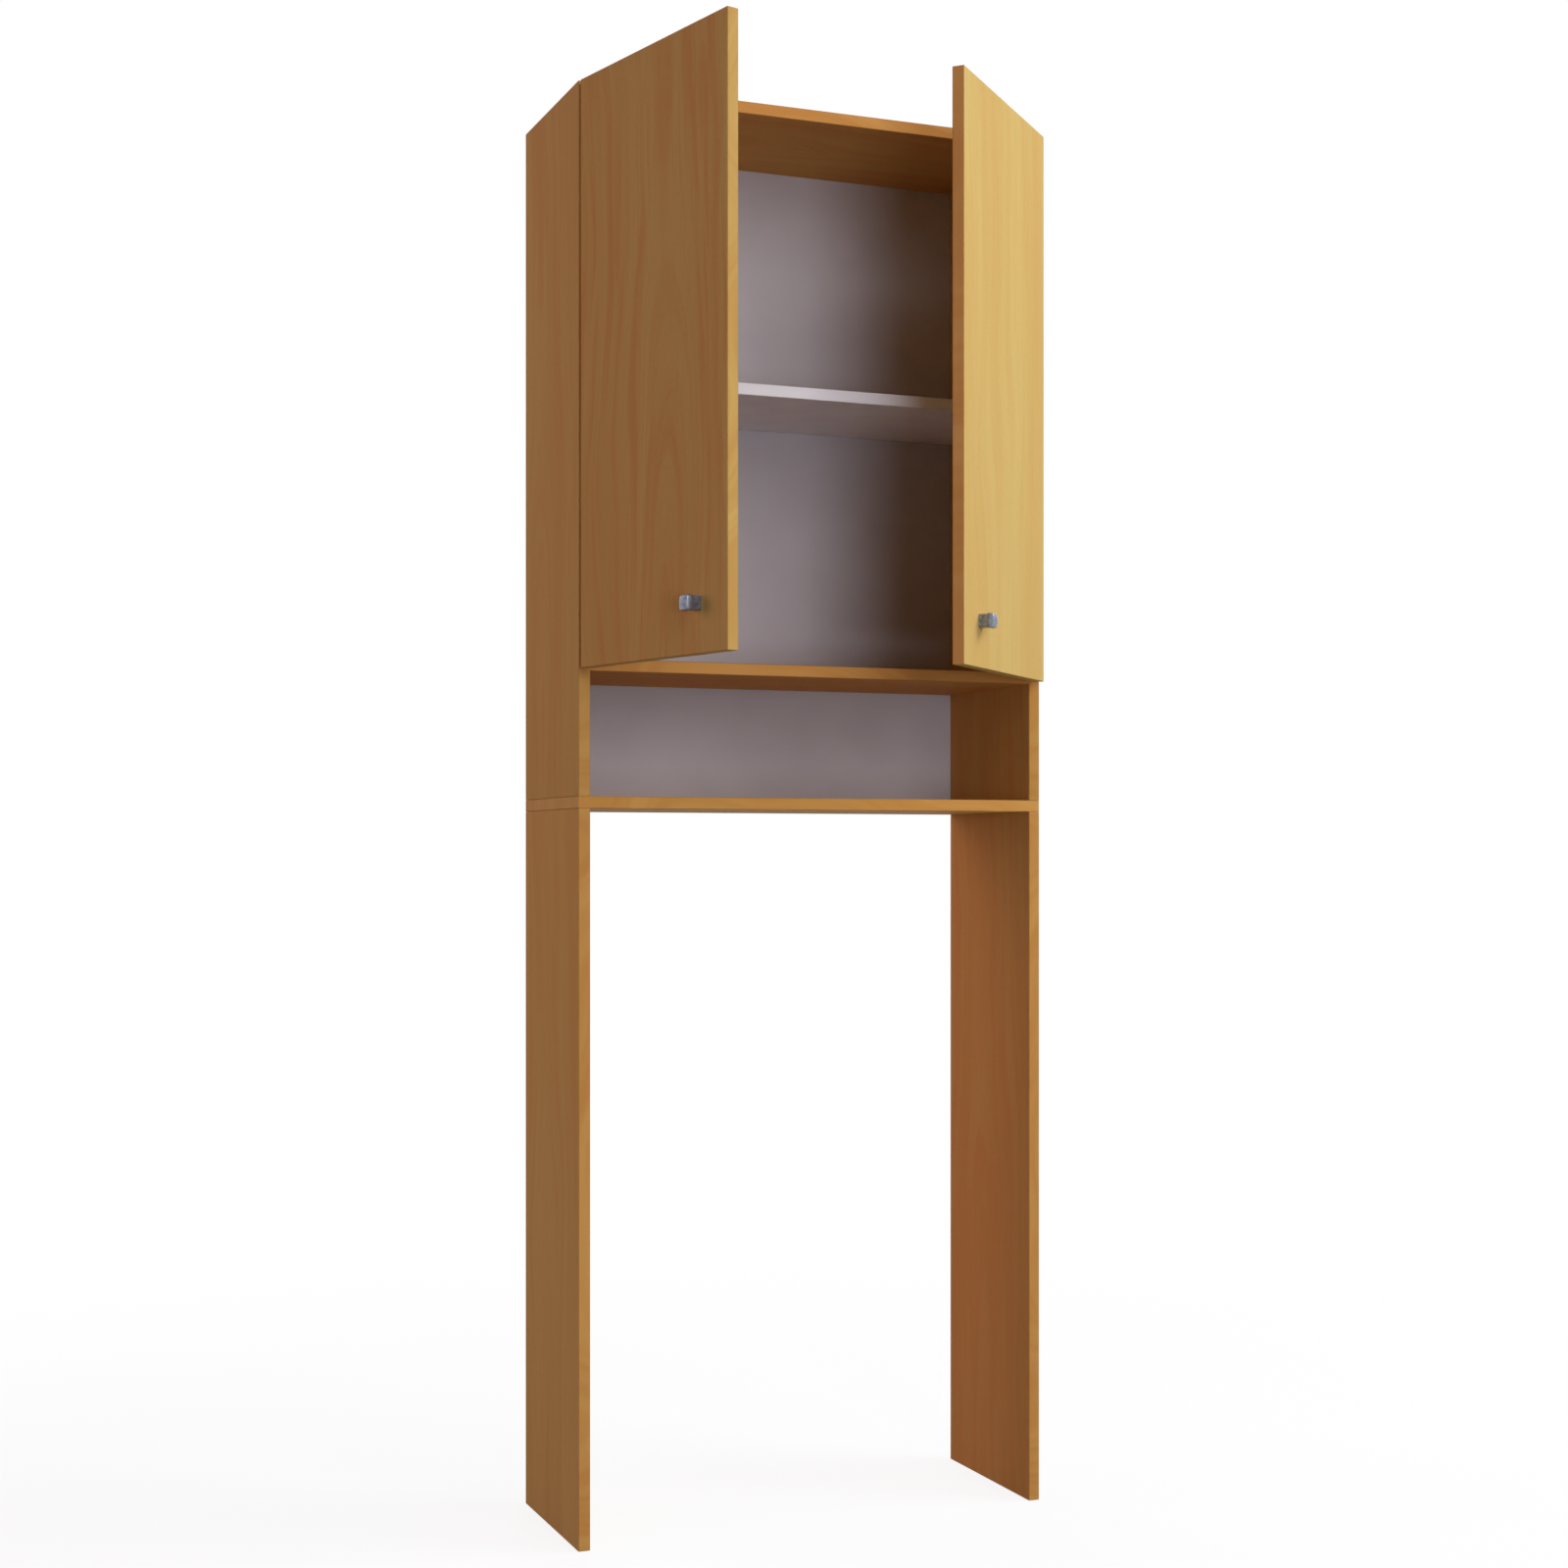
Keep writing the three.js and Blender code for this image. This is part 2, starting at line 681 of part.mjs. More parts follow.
function knobGeometry() {
  const stations = knobStationShares.map(([along, share]) => {
    const y = -fitGap - along * knobProjection;
    return knobOutline(share).map((point) => new THREE.Vector3(point.x, y, point.y));
  });
  const dome = knobDomeShares.map((share) => knobOutline(share).map((point) => {
    const sag = point.lengthSq() / (2 * knobDomeRadius);
    return new THREE.Vector3(point.x, sag - fitGap - knobProjection, point.y);
  }));
  const depth = knobScrewBite + fitGap;
  const bore = rod('y', knobScrewRadius + fitGap, -depth, cutOverrun, 0, 0);
  return shaped([loft([...stations, ...dome])], [bore]);
}

function knobScrewGeometry() {
  const start = -boardThickness - knobScrewBite;
  const neck = knobScrewHeadRadius - knobScrewHeadHeight / 2;
  return lathe('y', [
    [0, start],
    [knobScrewRadius, start],
    [knobScrewRadius, fitGap],
    [knobScrewHeadRadius, fitGap],
    [knobScrewHeadRadius, fitGap + knobScrewHeadHeight / 2],
    [neck, fitGap + knobScrewHeadHeight],
    [0, fitGap + knobScrewHeadHeight],
  ]);
}

// Soft stop that meets the edge of the top board when the door shuts.
const bumperRadius = 4;
const bumperInset = 20;
const bumperCrown = 0.6;
const bumperTop = doorGap - fitGap;
const bumperHeight = topBoardUnderside + boardThickness / 2;

function bumperGeometry() {
  return lathe('y', [
    [0, fitGap],
    [bumperRadius, fitGap],
    [bumperRadius, bumperTop - bumperCrown],
    [bumperRadius - bumperCrown, bumperTop],
    [0, bumperTop],
  ]);
}

// Cup recesses and the knob screw's hole; all places are measured from the hinge axis.
function doorBores(sign) {
  const inside = axisDepth + cutOverrun;
  const recesses = hingeRows.map(([, z]) => rod(
    'y',
    cupRadius + fitGap,
    axisDepth - cupDepth - fitGap,
    inside,
    doorAcross(sign, cupFromEdge),
    z,
    fineSteps,
  ));
  const knobHole = rod(
    'y',
    knobScrewRadius + fitGap,
    doorFace - cutOverrun,
    inside,
    doorAcross(sign, knobFromEdge),
    knobHeight,
  );
  return [...recesses, knobHole];
}

function doorGeometryPlace(sign) {
  return [doorAcross(sign, doorWidth / 2), axisDepth - boardThickness / 2, doorMiddle];
}

function doorPieces({ name, sign }) {
  const place = doorGeometryPlace(sign);
  const panel = fullBoard([doorWidth, boardThickness, doorHeight], place, doorBores(sign));
  const knobAcross = doorAcross(sign, knobFromEdge);
  const bumperAcross = doorAcross(sign, doorWidth - bumperInset);
  const cupAcross = doorAcross(sign, cupFromEdge);
  const pin = rod('z', hingePinRadius, -pinHalfLength, pinHalfLength, 0, 0);
  return [
    piece(`${name}_door`, panel, place, 'decor'),
    piece(`${name}_knob`, knobGeometry(), [knobAcross, doorFace, knobHeight], 'chrome'),
    piece(`${name}_knob_screw`, knobScrewGeometry(), [knobAcross, axisDepth, knobHeight], 'zinc'),
    piece(`${name}_bumper`, bumperGeometry(), [bumperAcross, axisDepth, bumperHeight], 'clear'),
    ...hingeRows.flatMap(([row, z]) => [
      piece(`${name}_${row}_hinge_cup`, cupGeometry(sign), [cupAcross, axisDepth, z], 'steel'),
      piece(`${name}_${row}_hinge_pin`, pin, [0, 0, z], 'steel'),
    ]),
  ];
}

// Each door's group turns about its hinge axis.
function hungDoor(hand) {
  const door = new THREE.Group();
  door.position.set(acrossAt(hand.sign, axisInward), axisForward, 0);
  door.rotation.z = hand.sign * THREE.MathUtils.degToRad(hand.openDegrees);
  door.add(...doorPieces(hand));
  return door;
}

// The boards of the carcass.
function legPanels() {
  const size = [boardThickness, cabinetDepth, legHeight];
  return hands.map(({ name, sign }) => {
    const place = [acrossAt(sign, boardThickness / 2), midDepth, legHeight / 2];
    const bores = [frontRow, rearRow].map((y) => housingScrewBore(sign, y));
    return piece(`${name}_leg_panel`, fullBoard(size, place, bores), place, 'decor');
  });
}

function midBoard() {
  const size = [cabinetWidth, cabinetDepth, boardThickness];
  const place = [0, midDepth, legHeight + boardThickness / 2];
  const bores = hands.flatMap(({ sign }) => [
    ...[frontRow, rearRow].map((y) => housingScrewBore(sign, y)),
    ...uprightDowelRows.map(([, y]) => uprightDowelBore(sign, y)),
  ]);
  return piece('mid_board', fullBoard(size, place, bores), place, 'decor');
}

function sidePanels() {
  const height = cabinetHeight - midBoardTop;
  const size = [boardThickness, cabinetDepth, height];
  return hands.map(({ name, sign }) => {
    const place = [acrossAt(sign, boardThickness / 2), midDepth, midBoardTop + height / 2];
    const bores = [
      ...uprightDowelRows.map(([, y]) => uprightDowelBore(sign, y)),
      ...sideBoresForInsetBoards(sign),
      ...pinBores(sign),
    ];
    return piece(`${name}_side_panel`, fullBoard(size, place, bores), place, 'decor');
  });
}

function insetBoardPieces() {
  return insetBoards.map(({ name, middle }) => {
    const place = [0, midDepth, middle];
    const geometry = insetBoard(2 * innerHalfWidth, cabinetDepth, place, camBores(middle));
    return piece(name, geometry, place, 'decor');
  });
}

// The origin lies under the middle of the space that the cabinet takes up with its doors open.
function openDoorReach({ openDegrees }) {
  const angle = THREE.MathUtils.degToRad(openDegrees);
  const edge = Math.sin(angle) * (doorWidth - axisFromEdge);
  return edge - Math.cos(angle) * doorFace - axisForward;
}

const frontReach = Math.max(...hands.map(openDoorReach));
const rearReach = cabinetDepth + backThickness;

const cabinet = new THREE.Group();
cabinet.position.y = (frontReach - rearReach) / 2;
cabinet.add(
  ...legPanels(),
  midBoard(),
  ...sidePanels(),
  ...insetBoardPieces(),
  shelf(),
  backPanel(),
  ...housingScrews(),
  ...uprightDowels(),
  ...camFittings(),
  ...shelfPins(),
  ...wallBrackets(),
  ...fixedHingePieces(),
  ...hands.map(hungDoor),
);

const part = new THREE.Group();
part.add(cabinet);
export default part;
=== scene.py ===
"""A tall over-machine cabinet of wood-decor board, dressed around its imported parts.

Metres, +Z up; the cabinet's front faces -Y. At rest both doors stand open.
"""

import json
import math

import bmesh
import bpy
import numpy as np
from mathutils import Euler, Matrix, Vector


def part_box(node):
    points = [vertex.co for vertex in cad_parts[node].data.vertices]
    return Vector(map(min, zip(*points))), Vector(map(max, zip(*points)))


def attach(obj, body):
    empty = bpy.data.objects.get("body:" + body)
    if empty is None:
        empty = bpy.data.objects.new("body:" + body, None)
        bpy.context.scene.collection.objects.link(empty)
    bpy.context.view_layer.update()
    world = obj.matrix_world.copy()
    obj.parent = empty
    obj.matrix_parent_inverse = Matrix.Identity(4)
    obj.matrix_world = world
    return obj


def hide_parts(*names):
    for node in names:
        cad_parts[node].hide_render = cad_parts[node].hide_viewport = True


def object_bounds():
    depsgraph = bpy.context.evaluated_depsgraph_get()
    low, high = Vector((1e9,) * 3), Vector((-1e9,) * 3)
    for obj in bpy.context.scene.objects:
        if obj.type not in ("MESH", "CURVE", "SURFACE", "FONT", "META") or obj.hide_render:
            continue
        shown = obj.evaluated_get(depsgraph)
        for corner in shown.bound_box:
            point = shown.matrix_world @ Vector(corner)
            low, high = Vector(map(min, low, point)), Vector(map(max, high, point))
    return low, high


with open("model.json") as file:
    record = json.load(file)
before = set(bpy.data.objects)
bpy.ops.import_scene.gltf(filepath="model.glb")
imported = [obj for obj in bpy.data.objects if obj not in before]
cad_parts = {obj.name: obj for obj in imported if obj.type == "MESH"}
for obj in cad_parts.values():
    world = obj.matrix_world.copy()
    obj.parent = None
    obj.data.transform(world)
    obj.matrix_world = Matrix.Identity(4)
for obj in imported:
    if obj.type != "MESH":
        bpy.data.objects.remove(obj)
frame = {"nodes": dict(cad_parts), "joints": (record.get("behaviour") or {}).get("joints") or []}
nodes = frame["nodes"]
packed_low, packed_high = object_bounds()

# Leg panels. Each is particle board faced with a printed beech foil and banded on its edges.
# They stand on the floor and carry the rest of the cabinet.

hands = {"left": -1, "right": 1}


def tint(red, green, blue):
    """A colour given as a screen shows it, from 0 to 255, as the light that it sends back."""
    share = np.array([red, green, blue]) / 255
    light = np.where(share <= 0.04045, share / 12.92, ((share + 0.055) / 1.055) ** 2.4)
    return (*(float(x) for x in light), 1.0)


class Finish:
    """A finish as it is made up, node by node. An input takes a number, a colour or an output."""

    def __init__(self, name):
        self.material = bpy.data.materials.new(name)
        self.material.use_nodes = True
        self.tree = self.material.node_tree
        self.shader = self.tree.nodes["Principled BSDF"]
        coordinates = self.tree.nodes.new("ShaderNodeTexCoord")
        self.place = coordinates.outputs["Object"]
        self.facing = coordinates.outputs["Normal"]

    def fill(self, socket, value):
        """Links the socket to an output, or sets its own value."""
        if isinstance(value, bpy.types.NodeSocket):
            self.tree.links.new(value, socket)
        else:
            socket.default_value = value

    def node(self, kind, inputs, output=0, **settings):
        """Adds a node with its settings and inputs, and gives one of its outputs."""
        made = self.tree.nodes.new("ShaderNode" + kind)
        for name, value in settings.items():
            setattr(made, name, value)
        for key, value in inputs.items():
            self.fill(made.inputs[key], value)
        return made.outputs[output]

    def calc(self, operation, *values):
        """One step of arithmetic."""
        return self.node("Math", dict(enumerate(values)), operation=operation)

    def ramp(self, value, low, high, start=0.0, end=1.0):
        """Carries low..high onto start..end, with a soft beginning and end."""
        inputs = {"Value": value, 1: low, 2: high, 3: start, 4: end}
        return self.node("MapRange", inputs, interpolation_type="SMOOTHSTEP")

    def cloud(self, place, per_metre, detail=2.0, roughness=0.5):
        """Soft noise from 0 to 1, with so many puffs to the metre along each axis."""
        spread = self.node("Mapping", {"Vector": place, "Scale": per_metre})
        inputs = {"Vector": spread, "Scale": 1.0, "Detail": detail, "Roughness": roughness}
        return self.node("TexNoise", inputs)

    def blend(self, share, first, second, mode="MIX"):
        """Mixes two colours by the share of the second."""
        inputs = {0: share, 6: first, 7: second}
        return self.node("Mix", inputs, output=2, data_type="RGBA", blend_type=mode)

    def facing_along(self, axis):
        """How squarely the surface faces along an axis, either way: 1 when it faces straight."""
        inputs = {0: self.facing, 1: axis}
        along = self.node("VectorMath", inputs, output="Value", operation="DOT_PRODUCT")
        return self.calc("ABSOLUTE", along)

    def relief(self, height, depth, strength=1.0, under=None):
        """A surface normal from a height of 0 to 1, which stands for that depth in metres."""
        inputs = {"Height": height, "Distance": depth, "Strength": strength}
        if under is not None:
            inputs["Normal"] = under
        return self.node("Bump", inputs)

    def done(self, **inputs):
        """Fills the shader's inputs, named with _ for a space, and gives the material."""
        for name, value in inputs.items():
            self.fill(self.shader.inputs[name.replace("_", " ")], value)
        return self.material


foil_light = tint(220, 187, 116)
foil_dark = tint(216, 177, 106)
foil_flame = tint(216, 164, 99)
fleck_colour = tint(176, 122, 68)
band_light = tint(218, 175, 102)
band_dark = tint(208, 158, 88)
band_seam = tint(150, 98, 52)
wander_puffs = 4.0, 6.0, 3.0
wander_reach = 0.07
log_rises = -0.4, 0.15
streak_puffs = 3.0, 18.0, 0.9
flame_puffs = 3.0, 52.0, 2.2
pore_puffs = 3.0, 300.0, 3.0
thread_puffs = 30.0, 900.0, 16.0
fleck_puffs = 60.0, 1500.0, 190.0
streak_range = 0.33, 0.67
flame_range = 0.47, 0.63
pore_range = 0.42, 0.72
thread_range = 0.4, 0.75
fleck_range = 0.7, 0.78
band_range = 0.3, 0.7
pore_share = 0.25
pore_share_of_flames = 0.3
thread_share = 0.12
fleck_share = 0.25
edge_facing = 0.62, 0.42
seam_start = 0.05, 0.3
seam_end = 0.97, 0.8
seam_share = 0.45
thread_height = 0.7
fleck_height = -0.5
foil_relief = 0.00006
foil_relief_strength = 0.5
foil_roughness = 0.46
pore_roughness = 0.14
foil_specular = 0.02
upright = Euler((0, 0, 0))


def toned_with_painted_light(colour, tone_with_painted_light):
    """A colour times a board's factors for red, green and blue, which hold painted light and shade.
    """
    return (*(float(c * t) for c, t in zip(colour, tone_with_painted_light)), 1.0)


def decor_board(name, centre, turn, tone_with_painted_light, band_tone_with_painted_light, log):
    """The foil and edge band of one board, whose ends across the grain wear foil. In its own frame
    x is its thickness, y goes across the grain and z along it. The figure is that of a log cut
    lengthwise: a point's ring radius is the root of the sum of two squares, its distance across
    from the log's axis and the axis's depth, which grows up the board. Flames, streaks and pores
    are noise in that radius, drawn out along the grain, so they run straight far from the axis
    and arch above it. The log is given by its axis's place across, its least and greatest depth
    and the strength of its flames."""
    finish = Finish(name)
    inputs = {"Vector": finish.place, "Location": centre, "Rotation": turn}
    board = finish.node("Mapping", inputs, vector_type="TEXTURE")
    split = finish.tree.nodes.new("ShaderNodeSeparateXYZ")
    finish.fill(split.inputs[0], board)
    across, along = split.outputs["Y"], split.outputs["Z"]

    log_across, low_depth, high_depth, flame_strength = log
    wander = finish.cloud(board, wander_puffs, detail=1.0)
    centred = -wander_reach / 2 - log_across
    shift = finish.calc("MULTIPLY_ADD", wander, wander_reach, centred)
    sideways = finish.calc("ADD", across, shift)
    depth = finish.ramp(along, *log_rises, low_depth, high_depth)
    squares = [finish.calc("POWER", side, 2.0) for side in (sideways, depth)]
    radius = finish.calc("SQRT", finish.calc("ADD", *squares))
    # The board's own place sets the noise off, so that no two boards show the same figure.
    own_offset = float(2 * centre.x + centre.z)
    offset_across = finish.calc("ADD", across, own_offset)
    rings = finish.node("CombineXYZ", {"X": offset_across, "Y": radius, "Z": along})
    broad = finish.cloud(rings, streak_puffs)
    figure = finish.cloud(rings, flame_puffs, detail=2.5, roughness=0.55)
    narrow = finish.cloud(rings, pore_puffs, roughness=0.65)
    fine = finish.cloud(board, thread_puffs, roughness=0.6)
    ray = finish.cloud(board, fleck_puffs, detail=0.0)

    streak = finish.ramp(broad, *streak_range)
    flame = finish.calc("MULTIPLY", finish.ramp(figure, *flame_range), flame_strength)
    pore_strength = pore_share + pore_share_of_flames * flame_strength
    pore = finish.calc("MULTIPLY", finish.ramp(narrow, *pore_range), pore_strength)
    thread = finish.calc("MULTIPLY", finish.ramp(fine, *thread_range), thread_share)
    fleck = finish.ramp(ray, *fleck_range)
    # These colours are multiplied by the board's factors, which hold painted light and shade fitted
    # to how light falls on it.
    light, dark, flamed, flecked = (
        toned_with_painted_light(colour, tone_with_painted_light) for colour in (foil_light, foil_dark, foil_flame, fleck_colour)
    )
    colour = finish.blend(streak, light, dark)
    colour = finish.blend(flame, colour, flamed)
    colour = finish.blend(pore, colour, flamed)
    colour = finish.blend(thread, colour, flecked)
    colour = finish.blend(finish.calc("MULTIPLY", fleck, fleck_share), colour, flecked)

    facing = finish.facing_along(turn.to_matrix() @ Vector((1, 0, 0)))
    endwise = finish.facing_along(turn.to_matrix() @ Vector((0, 0, 1)))
    turned_away = [finish.ramp(way, *edge_facing) for way in (facing, endwise)]
    on_band = finish.calc("MULTIPLY", *turned_away)
    # The band's colours are multiplied by its own factors, which hold painted light and shade on
    # the board's edges.
    band_colours = toned_with_painted_light(band_light, band_tone_with_painted_light), toned_with_painted_light(band_dark, band_tone_with_painted_light)
    band = finish.blend(finish.ramp(narrow, *band_range), *band_colours)
    colour = finish.blend(on_band, colour, band)
    between = finish.ramp(facing, *seam_start), finish.ramp(facing, *seam_end)
    on_seam = finish.calc("MULTIPLY", *between)
    seam = finish.calc("MULTIPLY", on_seam, seam_share)
    colour = finish.blend(seam, colour, toned_with_painted_light(band_seam, tone_with_painted_light))

    threads = finish.calc("MULTIPLY", fine, thread_height)
    height = finish.calc("MULTIPLY_ADD", fleck, fleck_height, threads)
    normal = finish.relief(height, foil_relief, foil_relief_strength)
    rough = finish.calc("MULTIPLY_ADD", narrow, pore_roughness, foil_roughness)
    inputs = {"Base_Color": colour, "Roughness": rough, "Normal": normal}
    return finish.done(**inputs, Specular_IOR_Level=foil_specular)


def middle(name):
    """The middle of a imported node's box."""
    low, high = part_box(name)
    return (low + high) / 2


def wear(name, material):
    """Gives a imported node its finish."""
    nodes[name].data.materials.clear()
    nodes[name].data.materials.append(material)


# Painted light and shade: the right leg, whose inner face stands in shade, is made darker and
# redder than the left.
leg_tones_with_painted_light = {"left": (1.07, 1.02, 0.84), "right": (1.05, 0.82, 0.74)}
leg_band_tone_with_painted_light = 1.02, 0.86, 0.74
leg_log = 0.02, 0.01, 0.05, 0.36
for hand in hands:
    board = f"{hand}_leg_panel"
    tones_with_painted_light = leg_tones_with_painted_light[hand], leg_band_tone_with_painted_light
    wear(board, decor_board(board, middle(board), upright, *tones_with_painted_light, leg_log))

# Mid board. It lies across both legs at full width and is banded all round, so that its rounded
# edges show as a fine groove above and below it.

lying = Euler((0, math.radians(90), 0))
# Painted light and shade: the mid board's foil and band factors follow how light falls on its front
# edge and ends.
mid_tones_with_painted_light = (1.15, 1.11, 1.0), (1.06, 0.9, 0.75)
lying_log = 0.0, 0.01, 0.06, 0.5
wear("mid_board", decor_board("mid_board", middle("mid_board"), lying, *mid_tones_with_painted_light, lying_log))

# Upper sides. Two boards stand on the mid board, above the legs, and carry everything inside.
# Rows of holes are drilled in their inner faces for the shelf.

# Painted light and shade: the right side, whose inner face stands in the cupboard's shade, is made
# darker and redder than the left.
side_tones_with_painted_light = {"left": (0.97, 0.93, 0.76), "right": (0.9, 0.74, 0.67)}
side_band_tones_with_painted_light = {"left": (0.98, 0.88, 0.8), "right": (0.92, 0.8, 0.67)}
side_log = 0.05, 0.02, 0.06, 0.5
for hand in hands:
    board = f"{hand}_side_panel"
    tones_with_painted_light = side_tones_with_painted_light[hand], side_band_tones_with_painted_light[hand]
    wear(board, decor_board(board, middle(board), upright, *tones_with_painted_light, side_log))

# Top board and bay floor. Both are set in between the upper sides; the grain runs across the
# cabinet, and cam fittings pull their sawn ends against the sides.

# Painted shade: the top board and bay floor are made darker and redder for their undersides, which
# face into the cupboard's shade.
inset_tones_with_painted_shade = (0.84, 0.67, 0.6), (0.99, 0.82, 0.74)
for board in ("top_board", "bay_floor"):
    wear(board, decor_board(board, middle(board), lying, *inset_tones_with_painted_shade, lying_log))

# Back panel. Thin hardboard, lacquered white on the face and bare brown fibre behind, where the
# press left the print of its wire screen.

# Painted shade: the white lacquer is given as a mauve grey, for the dim inside of the cupboard.
lacquer_grey_painted_shade = tint(197, 193, 198)
lacquer_mottle_painted_shade = tint(192, 188, 193)
fibre_brown = tint(128, 90, 58)
fibre_dark = tint(92, 62, 40)
lacquer_puffs = 9.0, 9.0, 9.0
peel_puffs = 650.0, 650.0, 650.0
fibre_puffs = 400.0, 400.0, 400.0
lacquer_range = 0.35, 0.7
fibre_range = 0.35, 0.7
screen_pitch = 0.0016
peel_height = 0.2
screen_height = 0.5
front_facing = 0.4, 0.6
lacquer_roughness = 0.45
fibre_roughness = 0.85
lacquer_specular = 0.12
hardboard_relief = 0.00015
hardboard_relief_strength = 0.4


def hardboard():
    """White lacquer, given grey as painted shade, where the face looks forwards; fibre with a
    screen print elsewhere. The print is the product of two waves, one along each way of the screen."""
    finish = Finish("white_hardboard")
    mottle = finish.cloud(finish.place, lacquer_puffs, detail=4.0)
    lacquer = finish.blend(finish.ramp(mottle, *lacquer_range), lacquer_grey_painted_shade, lacquer_mottle_painted_shade)
    fibre = finish.cloud(finish.place, fibre_puffs, detail=4.0, roughness=0.7)
    brown = finish.blend(finish.ramp(fibre, *fibre_range), fibre_brown, fibre_dark)
    split = finish.tree.nodes.new("ShaderNodeSeparateXYZ")
    finish.fill(split.inputs[0], finish.place)
    per_metre = 2 * math.pi / screen_pitch
    phases = [finish.calc("MULTIPLY", split.outputs[axis], per_metre) for axis in "XZ"]
    waves = [finish.calc("SINE", phase) for phase in phases]
    screen = finish.calc("MULTIPLY", *waves)
    inputs = {0: finish.facing, 1: (0, -1, 0)}
    facing = finish.node("VectorMath", inputs, output="Value", operation="DOT_PRODUCT")
    on_face = finish.ramp(facing, *front_facing)
    colour = finish.blend(on_face, brown, lacquer)
    peel = finish.cloud(finish.place, peel_puffs, detail=1.0)
    front_height = finish.calc("MULTIPLY", peel, peel_height)
    rear_height = finish.calc("MULTIPLY_ADD", screen, screen_height, fibre)
    height = finish.node("Mix", {0: on_face, 2: rear_height, 3: front_height})
    smoother = lacquer_roughness - fibre_roughness
    return finish.done(
        Base_Color=colour,
        Roughness=finish.calc("MULTIPLY_ADD", on_face, smoother, fibre_roughness),
        Normal=finish.relief(height, hardboard_relief, hardboard_relief_strength),
        Specular_IOR_Level=lacquer_specular,
    )


wear("back_panel", hardboard())

# Shelf and its pins. The shelf is board faced with white melamine; it lies loose on four pressed
# steel spoons that plug into the rows of holes.

melamine_white = tint(246, 245, 249)
melamine_shade = tint(240, 238, 244)
melamine_seam = tint(196, 190, 186)
melamine_puffs = 14.0, 14.0, 14.0
melamine_range = 0.35, 0.7
melamine_seam_share = 0.5
melamine_roughness = 0.34
melamine_roughness_reach = 0.14
melamine_specular = 0.15
pearl_puffs = 900.0, 900.0, 900.0
pearl_relief = 0.00006
pearl_relief_strength = 0.4


def melamine():
    """White melamine with a fine pearl in its surface and a thin seam at the edge band."""
    finish = Finish("white_melamine")
    mottle = finish.cloud(finish.place, melamine_puffs, detail=4.0)
    mottled = finish.ramp(mottle, *melamine_range)
    colour = finish.blend(mottled, melamine_white, melamine_shade)
    facing = finish.facing_along((0, 0, 1))
    between = finish.ramp(facing, *seam_start), finish.ramp(facing, *seam_end)
    on_seam = finish.calc("MULTIPLY", *between)
    seam = finish.calc("MULTIPLY", on_seam, melamine_seam_share)
    colour = finish.blend(seam, colour, melamine_seam)
    pearl = finish.cloud(finish.place, pearl_puffs, detail=1.0)
    roughness = melamine_roughness_reach, melamine_roughness
    return finish.done(
        Base_Color=colour,
        Roughness=finish.calc("MULTIPLY_ADD", mottle, *roughness),
        Normal=finish.relief(pearl, pearl_relief, pearl_relief_strength),
        Specular_IOR_Level=melamine_specular,
    )


wear("adjustable_shelf", melamine())

plating_puffs = 160.0, 160.0, 160.0
plating_range = 0.3, 0.7
scratch_range = 0.35, 0.75
scratch_roughness = 0.12
scratch_relief = 0.00002
scratch_relief_strength = 0.35
nickel_light = tint(216, 214, 210)
nickel_dark = tint(194, 192, 188)
nickel_scratches = 90.0, 90.0, 1500.0
nickel_roughness = 0.3
zinc_light = tint(204, 206, 210)
zinc_dark = tint(176, 179, 185)
zinc_scratches = 700.0, 700.0, 700.0
zinc_roughness = 0.36


def plated(name, colour, shade, roughness, scratches, metallic=1.0):
    """Plated metal: soft clouds of shade, and fine scratches drawn out along one axis."""
    finish = Finish(name)
    cloudy = finish.cloud(finish.place, plating_puffs, detail=3.0)
    scratch = finish.cloud(finish.place, scratches, roughness=0.7)
    mixed = finish.blend(finish.ramp(cloudy, *plating_range), colour, shade)
    scratched = finish.ramp(scratch, *scratch_range)
    dulled = finish.calc("MULTIPLY", scratched, scratch_roughness)
    return finish.done(
        Base_Color=mixed,
        Metallic=metallic,
        Roughness=finish.calc("ADD", roughness, dulled),
        Normal=finish.relief(scratch, scratch_relief, scratch_relief_strength),
    )


nickel = plated("nickel_plate", nickel_light, nickel_dark, nickel_roughness, nickel_scratches)
zinc = plated("zinc_plate", zinc_light, zinc_dark, zinc_roughness, zinc_scratches)

for hand in hands:
    for row in ("front", "rear"):
        wear(f"{hand}_{row}_shelf_pin", nickel)

# Hidden fixings. Beech dowels locate the boards, cams on steel bolts pull them tight, and housing
# screws hold the mid board down on the legs under the upper sides.

dowel_light = tint(222, 190, 140)
dowel_dark = tint(196, 158, 106)
dowel_puffs = 900.0, 900.0, 900.0
dowel_range = 0.3, 0.7
dowel_roughness = 0.75
dowel_specular = 0.2
dowel_relief = 0.0001
dowel_relief_strength = 0.5


def bare_beech():
    """Bare beech with short dark flecks and no lacquer."""
    finish = Finish("bare_beech")
    grain = finish.cloud(finish.place, dowel_puffs, detail=3.0)
    return finish.done(
        Base_Color=finish.blend(finish.ramp(grain, *dowel_range), dowel_light, dowel_dark),
        Roughness=dowel_roughness,
        Normal=finish.relief(grain, dowel_relief, dowel_relief_strength),
        Specular_IOR_Level=dowel_specular,
    )


beech = bare_beech()
for hand in hands:
    for row in ("front", "rear"):
        wear(f"{hand}_{row}_housing_screw", zinc)
        wear(f"{hand}_{row}_side_dowel", beech)
    for board in ("top_board", "bay_floor"):
        wear(f"{board}_{hand}_cam", zinc)
        wear(f"{board}_{hand}_cam_bolt", zinc)
        wear(f"{board}_{hand}_dowel", beech)

# Back panel nails. Short zinc-plated wire nails pin the back panel to the rear edges of the sides
# and of the three lying boards. Their flat heads stand a little proud of the panel.

